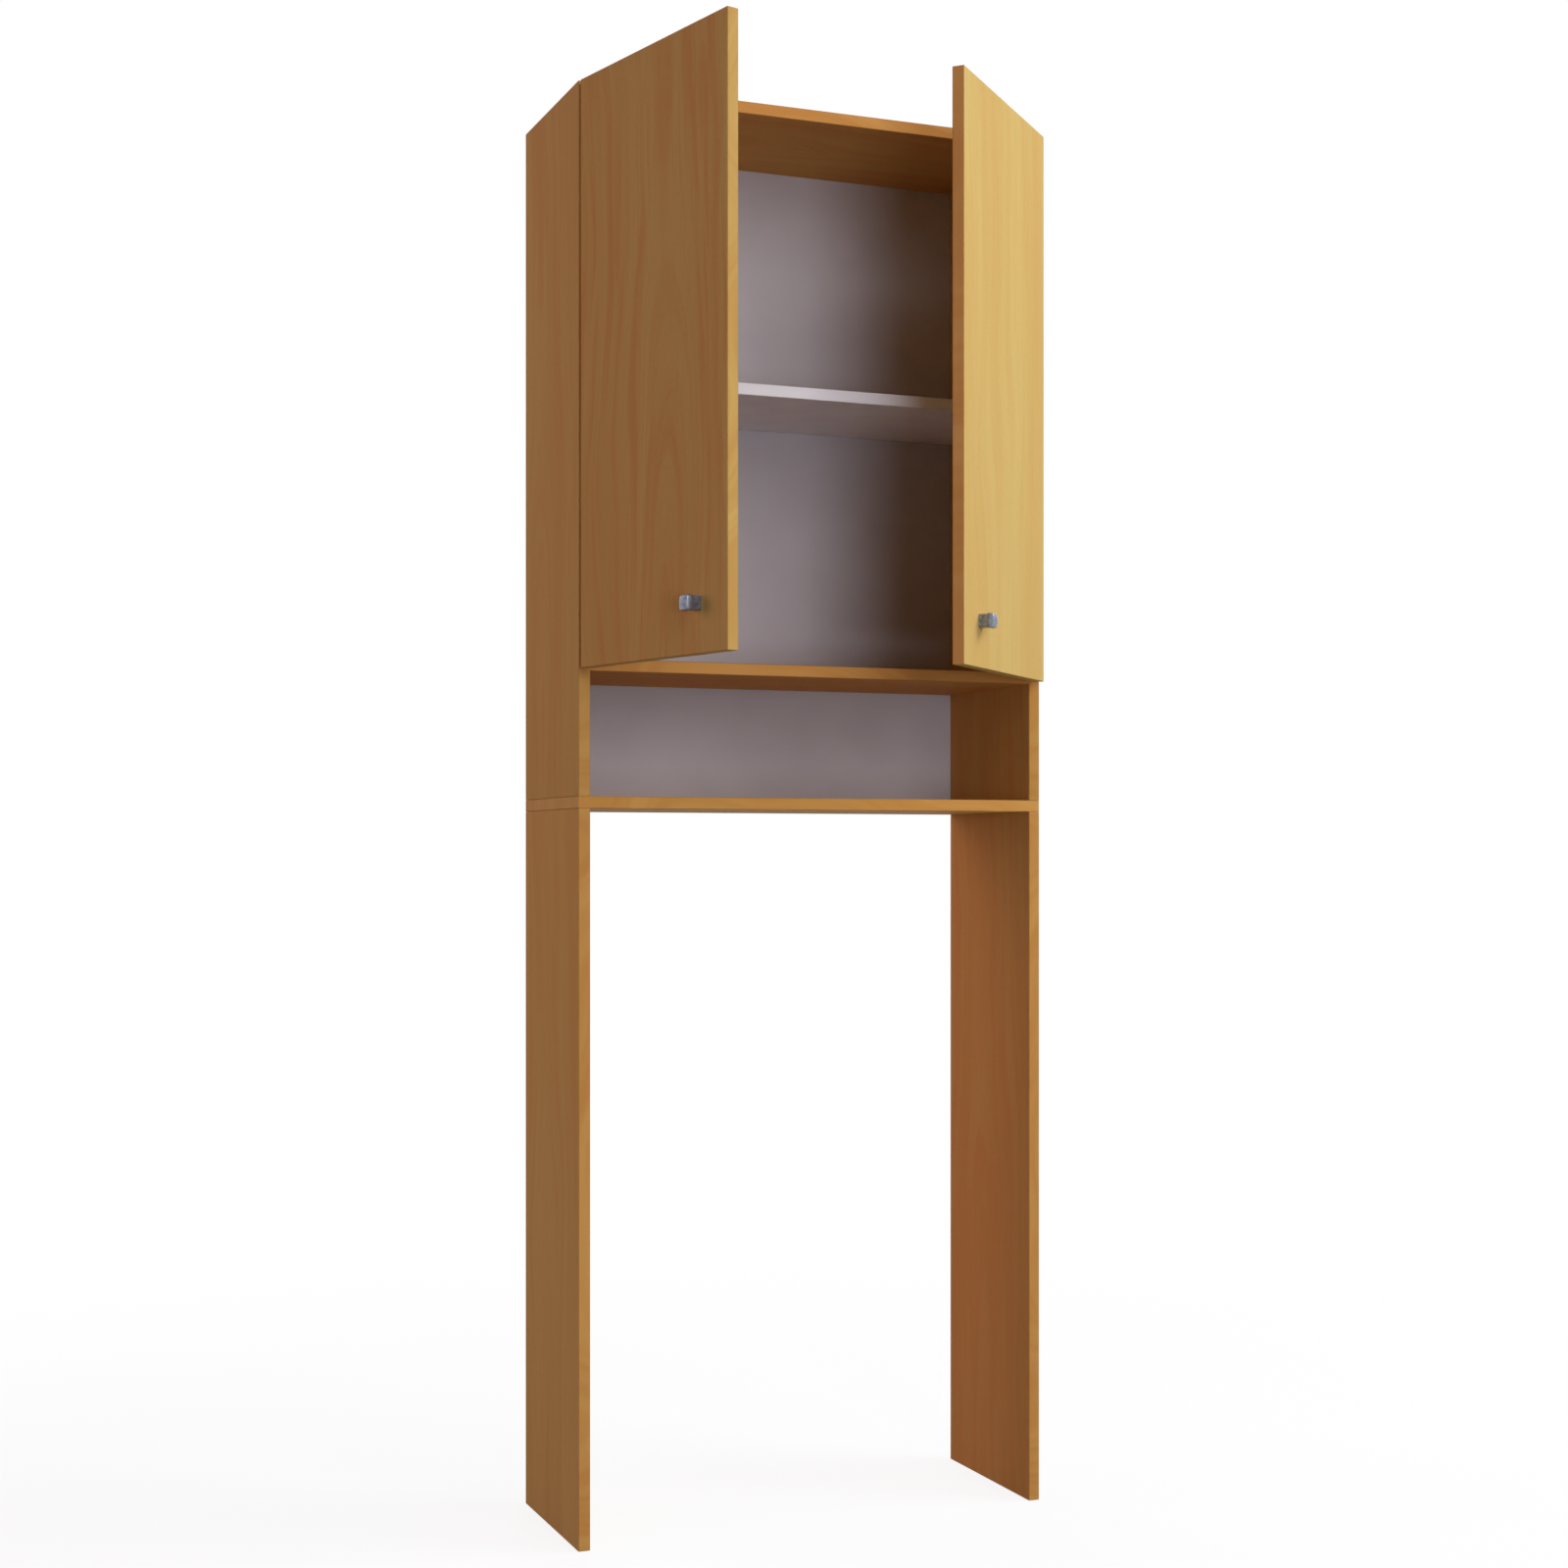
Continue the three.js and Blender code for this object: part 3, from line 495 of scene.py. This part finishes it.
up = np.array([0.0, 0.0, 1.0])
sharp_corner = math.radians(34)
nail_turns = np.linspace(0, 2 * np.pi, 20, endpoint=False)
nail_head_radius = 0.0022
nail_head_height = 0.0003
nail_radius = 0.0008
nail_length = 0.016
nail_from_corner = 0.05
nails_up_side = 7
nails_across = 4


def placed(local, origin, axes):
    """Carries points of a local frame into place: the origin plus each part times its axis."""
    return np.asarray(origin) + np.asarray(local) @ np.array(axes)


def skin(name, rings, body, material):
    """A closed piece from rows of points. Each row is a ring, bands of four-sided faces join
    neighbouring rings, and a flat face closes each end."""
    rows, count = rings.shape[:2]
    row, place = np.meshgrid(np.arange(rows - 1), np.arange(count), indexing="ij")
    here, beside = row * count + place, row * count + (place + 1) % count
    bands = np.stack([here, beside, beside + count, here + count], axis=-1).reshape(-1, 4)
    ends = np.stack([np.arange(count)[::-1], np.arange(count) + (rows - 1) * count])
    mesh = bpy.data.meshes.new(name)
    mesh.from_pydata(rings.reshape(-1, 3).tolist(), [], bands.tolist() + ends.tolist())
    faces = bmesh.new()
    faces.from_mesh(mesh)
    bmesh.ops.recalc_face_normals(faces, faces=faces.faces)
    faces.to_mesh(mesh)
    faces.free()
    mesh.shade_smooth()
    mesh.set_sharp_from_angle(angle=sharp_corner)
    mesh.materials.append(material)
    piece = bpy.data.objects.new(name, mesh)
    bpy.context.scene.collection.objects.link(piece)
    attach(piece, body)
    return piece


def round_rings(turns, stations):
    """Rings about the third axis, one for each station: a radius, which may differ from turn to
    turn, and a height."""
    rings = [(r * np.cos(turns), r * np.sin(turns), np.full(len(turns), w)) for r, w in stations]
    return np.moveaxis(np.array(rings), 1, 2)


def wire_nail(name, place):
    """A nail driven forwards at a place on the back panel. Rings run from its point along the
    shank, out under the head, over the head's rounded edge and in across it."""
    stations = [
        (0.1 * nail_radius, -nail_length),
        (nail_radius, -0.85 * nail_length),
        (nail_radius, -nail_head_height),
        (nail_head_radius, 0.0),
        (0.96 * nail_head_radius, 0.7 * nail_head_height),
        (0.8 * nail_head_radius, nail_head_height),
        (0.1 * nail_head_radius, 1.1 * nail_head_height),
    ]
    axes = (1, 0, 0), up, (0, 1, 0)
    rings = round_rings(nail_turns, stations)
    skin(name, placed(rings, place, axes), "carcass", zinc)


panel_low, panel_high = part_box("back_panel")
side_line = abs(middle("left_side_panel").x)
nail_ends = panel_low.z + nail_from_corner, panel_high.z - nail_from_corner
nail_places = [
    (sign * side_line, level)
    for sign in hands.values()
    for level in np.linspace(*nail_ends, nails_up_side)
]
nail_places += [
    (place, middle(board).z)
    for board in ("mid_board", "bay_floor", "top_board")
    for place in np.linspace(-side_line, side_line, nails_across + 2)[1:-1]
]
for number, (x, z) in enumerate(nail_places, start=1):
    wire_nail(f"back_nail_{number:02d}", (x, panel_high.y, z))

# Wall brackets. Two zinc-plated angles on the top board, each screwed down behind the top edge,
# with a hole for the screw into the wall.

bracket_screw_from_wall = 0.013
bracket_leg_thickness = 0.002
bracket_screw_radius = 0.0045
bracket_screw_height = 0.0018
head_turns = np.linspace(0, 2 * np.pi, 64, endpoint=False)
head_shares = np.concatenate([np.linspace(1, 0.66, 4), np.linspace(0.6, 0.03, 16)])[:, None]
head_roundness = 0.4
head_sunk = 0.4
recess_depth = 0.75
recess_half_width = 0.1
recess_reach = 0.58
recess_flank = 0.05
recess_end_flank = 0.2


def recess_bar(long_way, short_way):
    """One bar of a cross recess, 1 where it is deep. It fades over a narrow flank on its long
    sides and over a wider one towards its ends."""
    beside = np.clip((recess_half_width + recess_flank - np.abs(short_way)) / recess_flank, 0, 1)
    return beside * np.clip((recess_reach - np.abs(long_way)) / recess_end_flank, 0, 1)


def cross_screw(name, centre, axes, radius, height, body):
    """The head of a cross-head screw. In its own frame the third axis points out of the work.
    The head is a dome, its height times one less the roundness times the squared share of its
    radius, less the recess of two crossing bars."""
    u, v = head_shares * np.cos(head_turns), head_shares * np.sin(head_turns)
    recess = np.maximum(recess_bar(u, v), recess_bar(v, u))
    dome = height * (1 - head_roundness * head_shares**2 - recess_depth * recess)
    rise = np.stack([radius * u, radius * v, dome], axis=-1)
    base = round_rings(head_turns, [(radius, -head_sunk * height)])
    rings = np.concatenate([base, rise])
    skin(name, placed(rings, centre, axes), body, zinc)


for hand in hands:
    bracket = f"{hand}_wall_bracket"
    wear(bracket, zinc)
    low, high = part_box(bracket)
    place = ((low.x + high.x) / 2, high.y - bracket_screw_from_wall, low.z + bracket_leg_thickness)
    head = bracket_screw_radius, bracket_screw_height
    cross_screw(f"{bracket}_screw", place, ((1, 0, 0), (0, -1, 0), (0, 0, 1)), *head, "carcass")

# Doors. Overlay boards on concealed hinges, in the same foil with the grain upright. Each stands
# at its own angle at rest, so its pattern is turned to lie along the door.

hinges = {joint["name"].split("_")[0]: joint for joint in frame["joints"]}
open_angles = {
    hand: -sign * math.radians(hinges[hand]["range_deg"][0]) for hand, sign in hands.items()
}
# Painted light and shade: the left door, turned away from the key lamp, is made darker and redder,
# the right door paler; the right door's free edge, in shade, is redder.
door_tones_with_painted_light = {"left": (0.97, 0.92, 0.86), "right": (1.06, 1.11, 1.05)}
door_band_tones_with_painted_light = {"left": (0.97, 1.01, 0.97), "right": (0.94, 0.77, 0.81)}
door_logs = {"left": (-0.035, 0.005, 0.07, 0.85), "right": (0.16, 0.02, 0.05, 0.17)}

for hand in hands:
    board = f"{hand}_door"
    turn = Euler((0, 0, open_angles[hand] + math.radians(90)))
    tones_with_painted_light = door_tones_with_painted_light[hand], door_band_tones_with_painted_light[hand]
    wear(board, decor_board(board, middle(board), turn, *tones_with_painted_light, door_logs[hand]))

# Hinges. Concealed hinges of nickel-plated steel: a drawn cup let into the door, its two ears
# screwed to the board, a pressed arm that curls round the pin, and a plate on the cabinet's side.

bodies = {"left": "left_door", "right": "right_door"}
across_door = {}
out_of_door = {}
for hand, sign in hands.items():
    cos, sin = math.cos(open_angles[hand]), math.sin(open_angles[hand])
    across_door[hand] = -sign * np.array([cos, sin, 0.0])
    out_of_door[hand] = np.array([sin, -cos, 0.0])


def reach(name, direction):
    """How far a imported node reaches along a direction: its lowest and highest place."""
    mesh = nodes[name].data
    corners = np.empty(3 * len(mesh.vertices))
    mesh.vertices.foreach_get("co", corners)
    along = corners.reshape(-1, 3) @ np.asarray(direction)
    return float(along.min()), float(along.max())


cup_rim = 0.001
cup_wall = 0.001
cup_soft_edge = 0.0003
cup_turns = np.linspace(0, 2 * np.pi, 144, endpoint=False)
cup_window = np.hanning(9) / np.hanning(9).sum()
flange_gap = 0.00005
ear_offset = 0.0095
ear_half_width = 0.007
ear_half_spacing = 0.024
ear_screw_radius = 0.0042
ear_screw_height = 0.0016


def cup_outline(turns, radius):
    """The flange's reach in each direction from the cup's middle. It is the larger of the round
    rim's radius and the far side of a long bar with round ends that carries both screws, with the
    corners between them filled by a moving average."""
    steps = np.linspace(0, 2 * radius, 400)
    x = steps * np.cos(turns)[:, None] - ear_offset
    z = steps * np.sin(turns)[:, None]
    beyond = np.maximum(np.abs(z) - ear_half_spacing, 0)
    inside = np.hypot(x, beyond) < ear_half_width
    far = np.max(np.where(inside, steps, 0), axis=1)
    edge = np.maximum(radius, far)
    beside = len(cup_window) // 2
    padded = np.concatenate([edge[-beside:], edge, edge[:beside]])
    return np.convolve(padded, cup_window, mode="valid")


def drawn_cup(hand, row):
    """A cup with its flange. A ring runs round the cup's middle at each station of one profile:
    up the outside of the bowl, out under the flange, back over it and down inside the bowl."""
    name = f"{hand}_{row}_hinge_cup"
    across, out = across_door[hand], out_of_door[hand]
    near, far = reach(name, across)
    bottom, top = reach(name, up)
    lowest, deepest = reach(name, out)
    inner_face = reach(f"{hand}_door", out)[0]
    flange, depth = inner_face - lowest, deepest - inner_face
    rim = (far - near) / 2
    bowl = rim - cup_rim
    edge = cup_outline(cup_turns, rim)
    soft = cup_soft_edge
    stations = [
        (0.05 * bowl, -depth),
        (bowl - 3 * soft, -depth),
        (bowl, -depth + 3 * soft),
        (bowl, flange_gap),
        (edge - soft, flange_gap),
        (edge, soft),
        (edge, flange - soft),
        (edge - soft, flange),
        (bowl - cup_wall + 2 * soft, flange),
        (bowl - cup_wall + soft / 2, flange - soft / 2),
        (bowl - cup_wall, flange - 2 * soft),
        (bowl - cup_wall, -depth + cup_wall + 4 * soft),
        (bowl - cup_wall - 4 * soft, -depth + cup_wall),
        (0.05 * bowl, -depth + cup_wall),
    ]
    centre = across * (near + far) / 2 + up * (bottom + top) / 2 + out * inner_face
    axes = across, up, -out
    points = placed(round_rings(cup_turns, stations), centre, axes)
    cup = skin(f"{name}_drawn", points, bodies[hand], nickel)
    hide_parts(name)
    for ear, way in (("upper", 1), ("lower", -1)):
        screw = centre + across * ear_offset + up * way * ear_half_spacing - out * flange
        head = ear_screw_radius, ear_screw_height
        cross_screw(f"{hand}_{row}_ear_screw_{ear}", screw, axes, *head, bodies[hand])


arm_wall = 0.0012
arm_half_thickness = 0.001
arm_bend = 0.003
arm_curl = np.radians(np.linspace(-60, -270, 22))
arm_lip = 0.0007
arm_lip_start = 24
arm_lip_growth = 6
arm_soft_edge = 0.0004
arm_screw_radius = 0.0038
arm_screw_height = 0.0022
arm_screw_places = 0.030, 0.048
plate_screw_radius = 0.0042
plate_screw_height = 0.0018
plate_screw_half_spacing = 0.016
plate_ear_thickness = 0.0022


def pressed_arm(hand, row):
    """An arm. Its section, a shallow channel, is carried along the middle line of a path that
    curls round the pin, crosses to the plate, bends and runs back over the plate. The channel's
    edges turn down only past the curl."""
    name = f"{hand}_{row}_hinge_arm"
    low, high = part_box(name)
    inward = np.array([-hands[hand], 0.0, 0.0])
    back = np.array([0.0, 1.0, 0.0])
    axis = np.array(hinges[hand]["pos_m"])
    half_width = (high.z - low.z) / 2
    axis[2] = (low.z + high.z) / 2
    end = high.y - axis[1]
    offset = max(inward @ np.array(low), inward @ np.array(high)) - inward @ axis
    knuckle = axis[1] - low.y
    level = offset - arm_half_thickness
    curl = knuckle - arm_wall / 2
    loop = np.column_stack([curl * np.cos(arm_curl), -curl * np.sin(arm_curl)])
    cross_start, cross_end = loop[-1], np.array([level - arm_bend, 0.0])
    ease = np.linspace(0, 1, 8)[1:, None]
    smooth = ease**2 * (3 - 2 * ease)
    crossing = cross_start + (cross_end - cross_start) * np.hstack([ease, smooth])
    bend = np.linspace(0, math.pi / 2, 8)[1:]
    rounded = np.column_stack([np.sin(bend), 1 - np.cos(bend)])
    corner = cross_end + arm_bend * rounded
    run = np.linspace(0, 1, 10)[1:, None] * np.array([0, end - arm_bend]) + corner[-1]
    path = np.concatenate([loop, crossing, corner, run])
    ahead = np.gradient(path, axis=0)
    ahead /= np.linalg.norm(ahead, axis=1)[:, None]
    side = np.stack([ahead[:, 1], -ahead[:, 0]], axis=1)
    turned_down = np.clip((np.arange(len(path)) - arm_lip_start) / arm_lip_growth, 0, 1)
    soft = arm_soft_edge
    outer, inner = half_width, half_width - arm_wall
    top, web = arm_wall / 2, -arm_wall / 2
    lip = web - arm_lip * turned_down
    section = [
        (outer - soft, top),
        (outer - soft / 4, top - soft / 4),
        (outer, top - soft),
        (outer, lip),
        (inner, lip),
        (inner - soft / 2, web),
    ]
    section += [(-w, h) for w, h in section[::-1]]
    plane = np.array([inward, back])
    rows = [(path + side * np.reshape(h, (-1, 1))) @ plane + w * up for w, h in section]
    rings = np.stack(rows, axis=1)
    arm = skin(f"{name}_pressed", rings + axis, "carcass", nickel)
    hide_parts(name)
    axes = back, up, inward
    front = reach("left_side_panel", back)[0]
    for place, end_name in zip(arm_screw_places, ("front", "rear")):
        screw = axis + inward * (level + top)
        screw[1] = front + place
        head = arm_screw_radius, arm_screw_height
        cross_screw(f"{hand}_{row}_arm_screw_{end_name}", screw, axes, *head, "carcass")
    plate = f"{hand}_{row}_hinge_plate"
    plate_low, plate_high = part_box(plate)
    wall = np.array(plate_low + plate_high) / 2
    wall[0] = hands[hand] * abs(max(plate_low.x, plate_high.x, key=abs))
    wall += inward * plate_ear_thickness
    for ear, way in (("upper", 1), ("lower", -1)):
        screw = wall + up * way * plate_screw_half_spacing
        head = plate_screw_radius, plate_screw_height
        cross_screw(f"{hand}_{row}_plate_screw_{ear}", screw, axes, *head, "carcass")


for hand in hands:
    for row in ("upper", "lower"):
        wear(f"{hand}_{row}_hinge_plate", nickel)
        wear(f"{hand}_{row}_hinge_pin", nickel)
        drawn_cup(hand, row)
        pressed_arm(hand, row)

# Knobs. Each is a square block of cast zinc, plated and rubbed to a satin chrome, with a drawn-in
# stem, a tapered head and a domed front. A screw through the door holds it.

chrome_light = tint(146, 152, 166)
chrome_dark = tint(110, 116, 131)
chrome_scratches = 300.0, 300.0, 1800.0
chrome_roughness = 0.2
chrome_metallic = 0.6
chrome_looks = chrome_roughness, chrome_scratches, chrome_metallic
chrome = plated("satin_chrome", chrome_light, chrome_dark, *chrome_looks)
knob_corner_share = 0.2
knob_dome_radius = 0.027
knob_waist = 0.87
knob_foot_flare = 0.035
knob_foot_reach = 0.09
knob_shoulder = 0.5, 0.63
knob_head_taper = 0.0011
knob_edge = 0.0007
knob_stem_rings = 28
knob_edge_rings = 6
knob_dome_shares = np.linspace(0.8, 0.04, 12)


def square_ring(half, corner):
    """Points round a square with rounded corners: cosine and sine arcs about the four corner
    centres, and evenly spaced points on the flats between them."""
    turn = np.linspace(0, np.pi / 2, 7) + np.arange(4)[:, None] * np.pi / 2
    diagonal = np.arange(4)[:, None] * np.pi / 2 + np.pi / 4
    out = (half - corner) * math.sqrt(2)
    x = out * np.cos(diagonal) + corner * np.cos(turn)
    y = out * np.sin(diagonal) + corner * np.sin(turn)
    arc = np.stack([x, y], axis=-1)
    share = np.linspace(0, 1, 10)[1:-1, None]
    flat = arc[:, -1:] * (1 - share) + np.roll(arc[:, :1], -1, axis=0) * share
    return np.concatenate([arc, flat], axis=1).reshape(-1, 2)


def cast_knob(hand):
    """A knob. The stem's width share is the waist, plus a flare that dies away from the foot,
    plus a smooth step up to the head. The head narrows by its taper to a small round, and the
    front is a dome: its height falls by the squared distance from the middle over twice the
    dome's radius."""
    name = f"{hand}_knob"
    across, out = across_door[hand], out_of_door[hand]
    foot, front = reach(name, out)
    left, right = reach(name, across)
    bottom, top = reach(name, up)
    half, length = (top - bottom) / 2, front - foot
    shoulder_start, shoulder_end = knob_shoulder
    rings = []
    for along in np.linspace(0, shoulder_end, knob_stem_rings):
        step = np.clip((along - shoulder_start) / (shoulder_end - shoulder_start), 0, 1)
        share = knob_waist + knob_foot_flare * math.exp(-along / knob_foot_reach)
        share += (1 - knob_waist) * step**2 * (3 - 2 * step)
        ring = square_ring(half * share, half * share * knob_corner_share)
        rings.append(np.column_stack([ring, np.full(len(ring), along * length)]))
    around = np.linspace(0, math.pi / 2, knob_edge_rings)
    round_sizes = half - knob_head_taper - knob_edge * (1 - np.cos(around))
    sizes = np.concatenate([round_sizes, knob_dome_shares * half])
    drops = np.concatenate([knob_edge * (1 - np.sin(around)), 0 * knob_dome_shares])
    for size, drop in zip(sizes, drops):
        ring = square_ring(size, size * knob_corner_share)
        sag = (ring**2).sum(axis=1) / (2 * knob_dome_radius)
        rings.append(np.column_stack([ring, length - sag - drop]))
    origin = across * (left + right) / 2 + up * (bottom + top) / 2 + out * foot
    points = placed(np.array(rings), origin, (across, up, out))
    knob = skin(f"{name}_cast", points, bodies[hand], chrome)
    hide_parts(name)


for hand in hands:
    cast_knob(hand)
    wear(f"{hand}_knob_screw", zinc)

# Bumpers. Small pads of soft clear plastic, stuck inside the doors near their upper free corners.
# They meet the top board's front edge and take the knock of a closing door.

bumper_light = tint(232, 236, 234)
bumper_dark = tint(214, 219, 217)
bumper_puffs = 900.0, 900.0, 900.0
bumper_roughness = 0.3
bumper_clearness = 0.4
bumper_refraction = 1.45


def soft_clear():
    """Clear soft plastic, slightly milky."""
    finish = Finish("clear_bumper")
    milk = finish.cloud(finish.place, bumper_puffs)
    return finish.done(
        Base_Color=finish.blend(milk, bumper_light, bumper_dark),
        Roughness=bumper_roughness,
        Transmission_Weight=bumper_clearness,
        IOR=bumper_refraction,
    )


for hand in hands:
    wear(f"{hand}_bumper", soft_clear())

# Studio. A pale floor that fades to white, a surround that shows white but lights only dimly, and
# five soft square lamps: the key from the right, one from the front, a low one that reaches in
# under the boards, a rosy one from the left and one that shows the rear.

floor_reach = 14.0
floor_colour = tint(112, 111, 112)
floor_shade = tint(108, 107, 108)
floor_puffs = 3.0, 3.0, 3.0
floor_roughness = 0.8
floor_specular = 0.1
floor_lift = 0.86
fade_range = 1.1, 2.6
surround_colour = (1.0, 0.9, 0.95, 1.0)
surround_strength = 0.03
plain_white = 1.0, 1.0, 1.0, 1.0
lamp_distance = 5.0
lamp_size = 3.0
low_lamp_size = 1.6


def seen_directly(tree):
    """1 for the rays that show the surround and the floor as they look: the camera's, those that
    metal mirrors and those that clear plastic lets through. It is 0 for all others."""
    path = tree.nodes.new("ShaderNodeLightPath")
    seen = path.outputs["Is Camera Ray"]
    for ray in ("Is Glossy Ray", "Is Transmission Ray"):
        step = tree.nodes.new("ShaderNodeMath")
        step.operation = "MAXIMUM"
        tree.links.new(seen, step.inputs[0])
        tree.links.new(path.outputs[ray], step.inputs[1])
        seen = step.outputs[0]
    return seen


def backdrop(tree, colour, strength):
    """One plain light of the surround."""
    light = tree.nodes.new("ShaderNodeBackground")
    light.inputs["Color"].default_value = colour
    light.inputs["Strength"].default_value = strength
    return light


world = bpy.data.worlds.new("studio")
bpy.context.scene.world = world
world.use_nodes = True
tree = world.node_tree
dim = backdrop(tree, surround_colour, surround_strength)
white = backdrop(tree, plain_white, 1.0)
mix = tree.nodes.new("ShaderNodeMixShader")
tree.links.new(seen_directly(tree), mix.inputs[0])
tree.links.new(dim.outputs[0], mix.inputs[1])
tree.links.new(white.outputs[0], mix.inputs[2])
tree.links.new(mix.outputs[0], tree.nodes["World Output"].inputs["Surface"])


def floor_disc():
    """A round floor: its rim is the cosine and sine of the turn times the floor's reach."""
    count = 96
    turns = np.linspace(0, 2 * np.pi, count, endpoint=False)
    ring = np.stack([np.cos(turns), np.sin(turns), np.zeros(count)], axis=1) * floor_reach
    mesh = bpy.data.meshes.new("floor")
    mesh.from_pydata(ring.tolist(), [], [list(range(count))])
    disc = bpy.data.objects.new("floor", mesh)
    bpy.context.scene.collection.objects.link(disc)
    return disc


floor = floor_disc()
floor_finish = Finish("pale_floor")
mottle = floor_finish.cloud(floor_finish.place, floor_puffs, detail=5.0)
floor_finish.done(
    Base_Color=floor_finish.blend(mottle, floor_colour, floor_shade),
    Roughness=floor_roughness,
    Specular_IOR_Level=floor_specular,
)
tree = floor_finish.tree
seen = seen_directly(tree)
centre_place = {0: floor_finish.place}
away = floor_finish.node("VectorMath", centre_place, output="Value", operation="LENGTH")
fade = floor_finish.calc("MULTIPLY", floor_finish.ramp(away, *fade_range), seen)
lift = tree.nodes.new("ShaderNodeEmission")
lift.inputs["Color"].default_value = plain_white
floor_finish.fill(lift.inputs["Strength"], floor_finish.calc("MULTIPLY", seen, floor_lift))
lifted = tree.nodes.new("ShaderNodeAddShader")
tree.links.new(floor_finish.shader.outputs[0], lifted.inputs[0])
tree.links.new(lift.outputs[0], lifted.inputs[1])
paper = tree.nodes.new("ShaderNodeEmission")
paper.inputs["Color"].default_value = plain_white
paper.inputs["Strength"].default_value = 1.0
faded = tree.nodes.new("ShaderNodeMixShader")
tree.links.new(fade, faded.inputs[0])
tree.links.new(lifted.outputs[0], faded.inputs[1])
tree.links.new(paper.outputs[0], faded.inputs[2])
tree.links.new(faded.outputs[0], tree.nodes["Material Output"].inputs["Surface"])
floor.data.materials.append(floor_finish.material)


def soft_lamp(name, azimuth, elevation, level, colour, size, mirrored):
    """A square lamp that faces the cabinet's middle. Azimuth turns from the front to the right.
    The level is what a white face square to the lamp would show: the power over pi squared and
    the distance squared. One that isn't mirrored leaves no highlight in metal."""
    light = bpy.data.lights.new(name, "AREA")
    light.shape = "SQUARE"
    light.size = size
    light.energy = level * math.pi**2 * lamp_distance**2
    light.color = colour
    lamp = bpy.data.objects.new(name, light)
    around, up = math.radians(azimuth), math.radians(elevation)
    back = Vector((math.sin(around) * math.cos(up), -math.cos(around) * math.cos(up), math.sin(up)))
    centre = (packed_low + packed_high) / 2
    lamp.location = centre + back * lamp_distance
    lamp.rotation_mode = "QUATERNION"
    lamp.rotation_quaternion = back.to_track_quat("Z", "Y")
    lamp.visible_camera = False
    lamp.visible_glossy = mirrored
    bpy.context.scene.collection.objects.link(lamp)


lamps = {
    "key_lamp": {"azimuth": 68, "elevation": 38, "level": 0.6, "colour": (0.98, 1.0, 1.05)},
    "front_lamp": {"azimuth": 6, "elevation": 24, "level": 0.345, "colour": (1.0, 0.98, 1.0)},
    "low_lamp": {"azimuth": -7, "elevation": -3, "level": 0.235, "colour": (0.94, 0.94, 1.06)},
    "left_lamp": {"azimuth": -118, "elevation": 14, "level": 0.27, "colour": (1.0, 0.62, 0.66)},
    "rear_lamp": {"azimuth": 176, "elevation": 16, "level": 0.34, "colour": (1.0, 1.0, 1.0)},
}
mirrored_lamps = "key_lamp", "front_lamp"
for name, light in lamps.items():
    size = low_lamp_size if name == "low_lamp" else lamp_size
    soft_lamp(name, **light, size=size, mirrored=name in mirrored_lamps)

# Camera. It stands level, a little below the cabinet's half height, in front of its left side and
# turned to the right; the shift keeps the boards' upright edges upright in the picture.

picture_side = 1600
focal_pixels = 2431.75
horizon_row = 873.61
camera_place = -1.2382, -2.9151, 0.8983
camera_heading = math.radians(21.94)
sensor = 0.036

view = bpy.data.cameras.new("camera")
view.sensor_width = sensor * 1000
view.lens = focal_pixels / picture_side * sensor * 1000
view.shift_y = (horizon_row - picture_side / 2) / picture_side
camera = bpy.data.objects.new("camera", view)
camera.location = camera_place
camera.rotation_euler = (math.radians(90), 0, -camera_heading)
bpy.context.scene.collection.objects.link(camera)
bpy.context.scene.camera = camera
bpy.context.scene.view_settings.view_transform = "Standard"
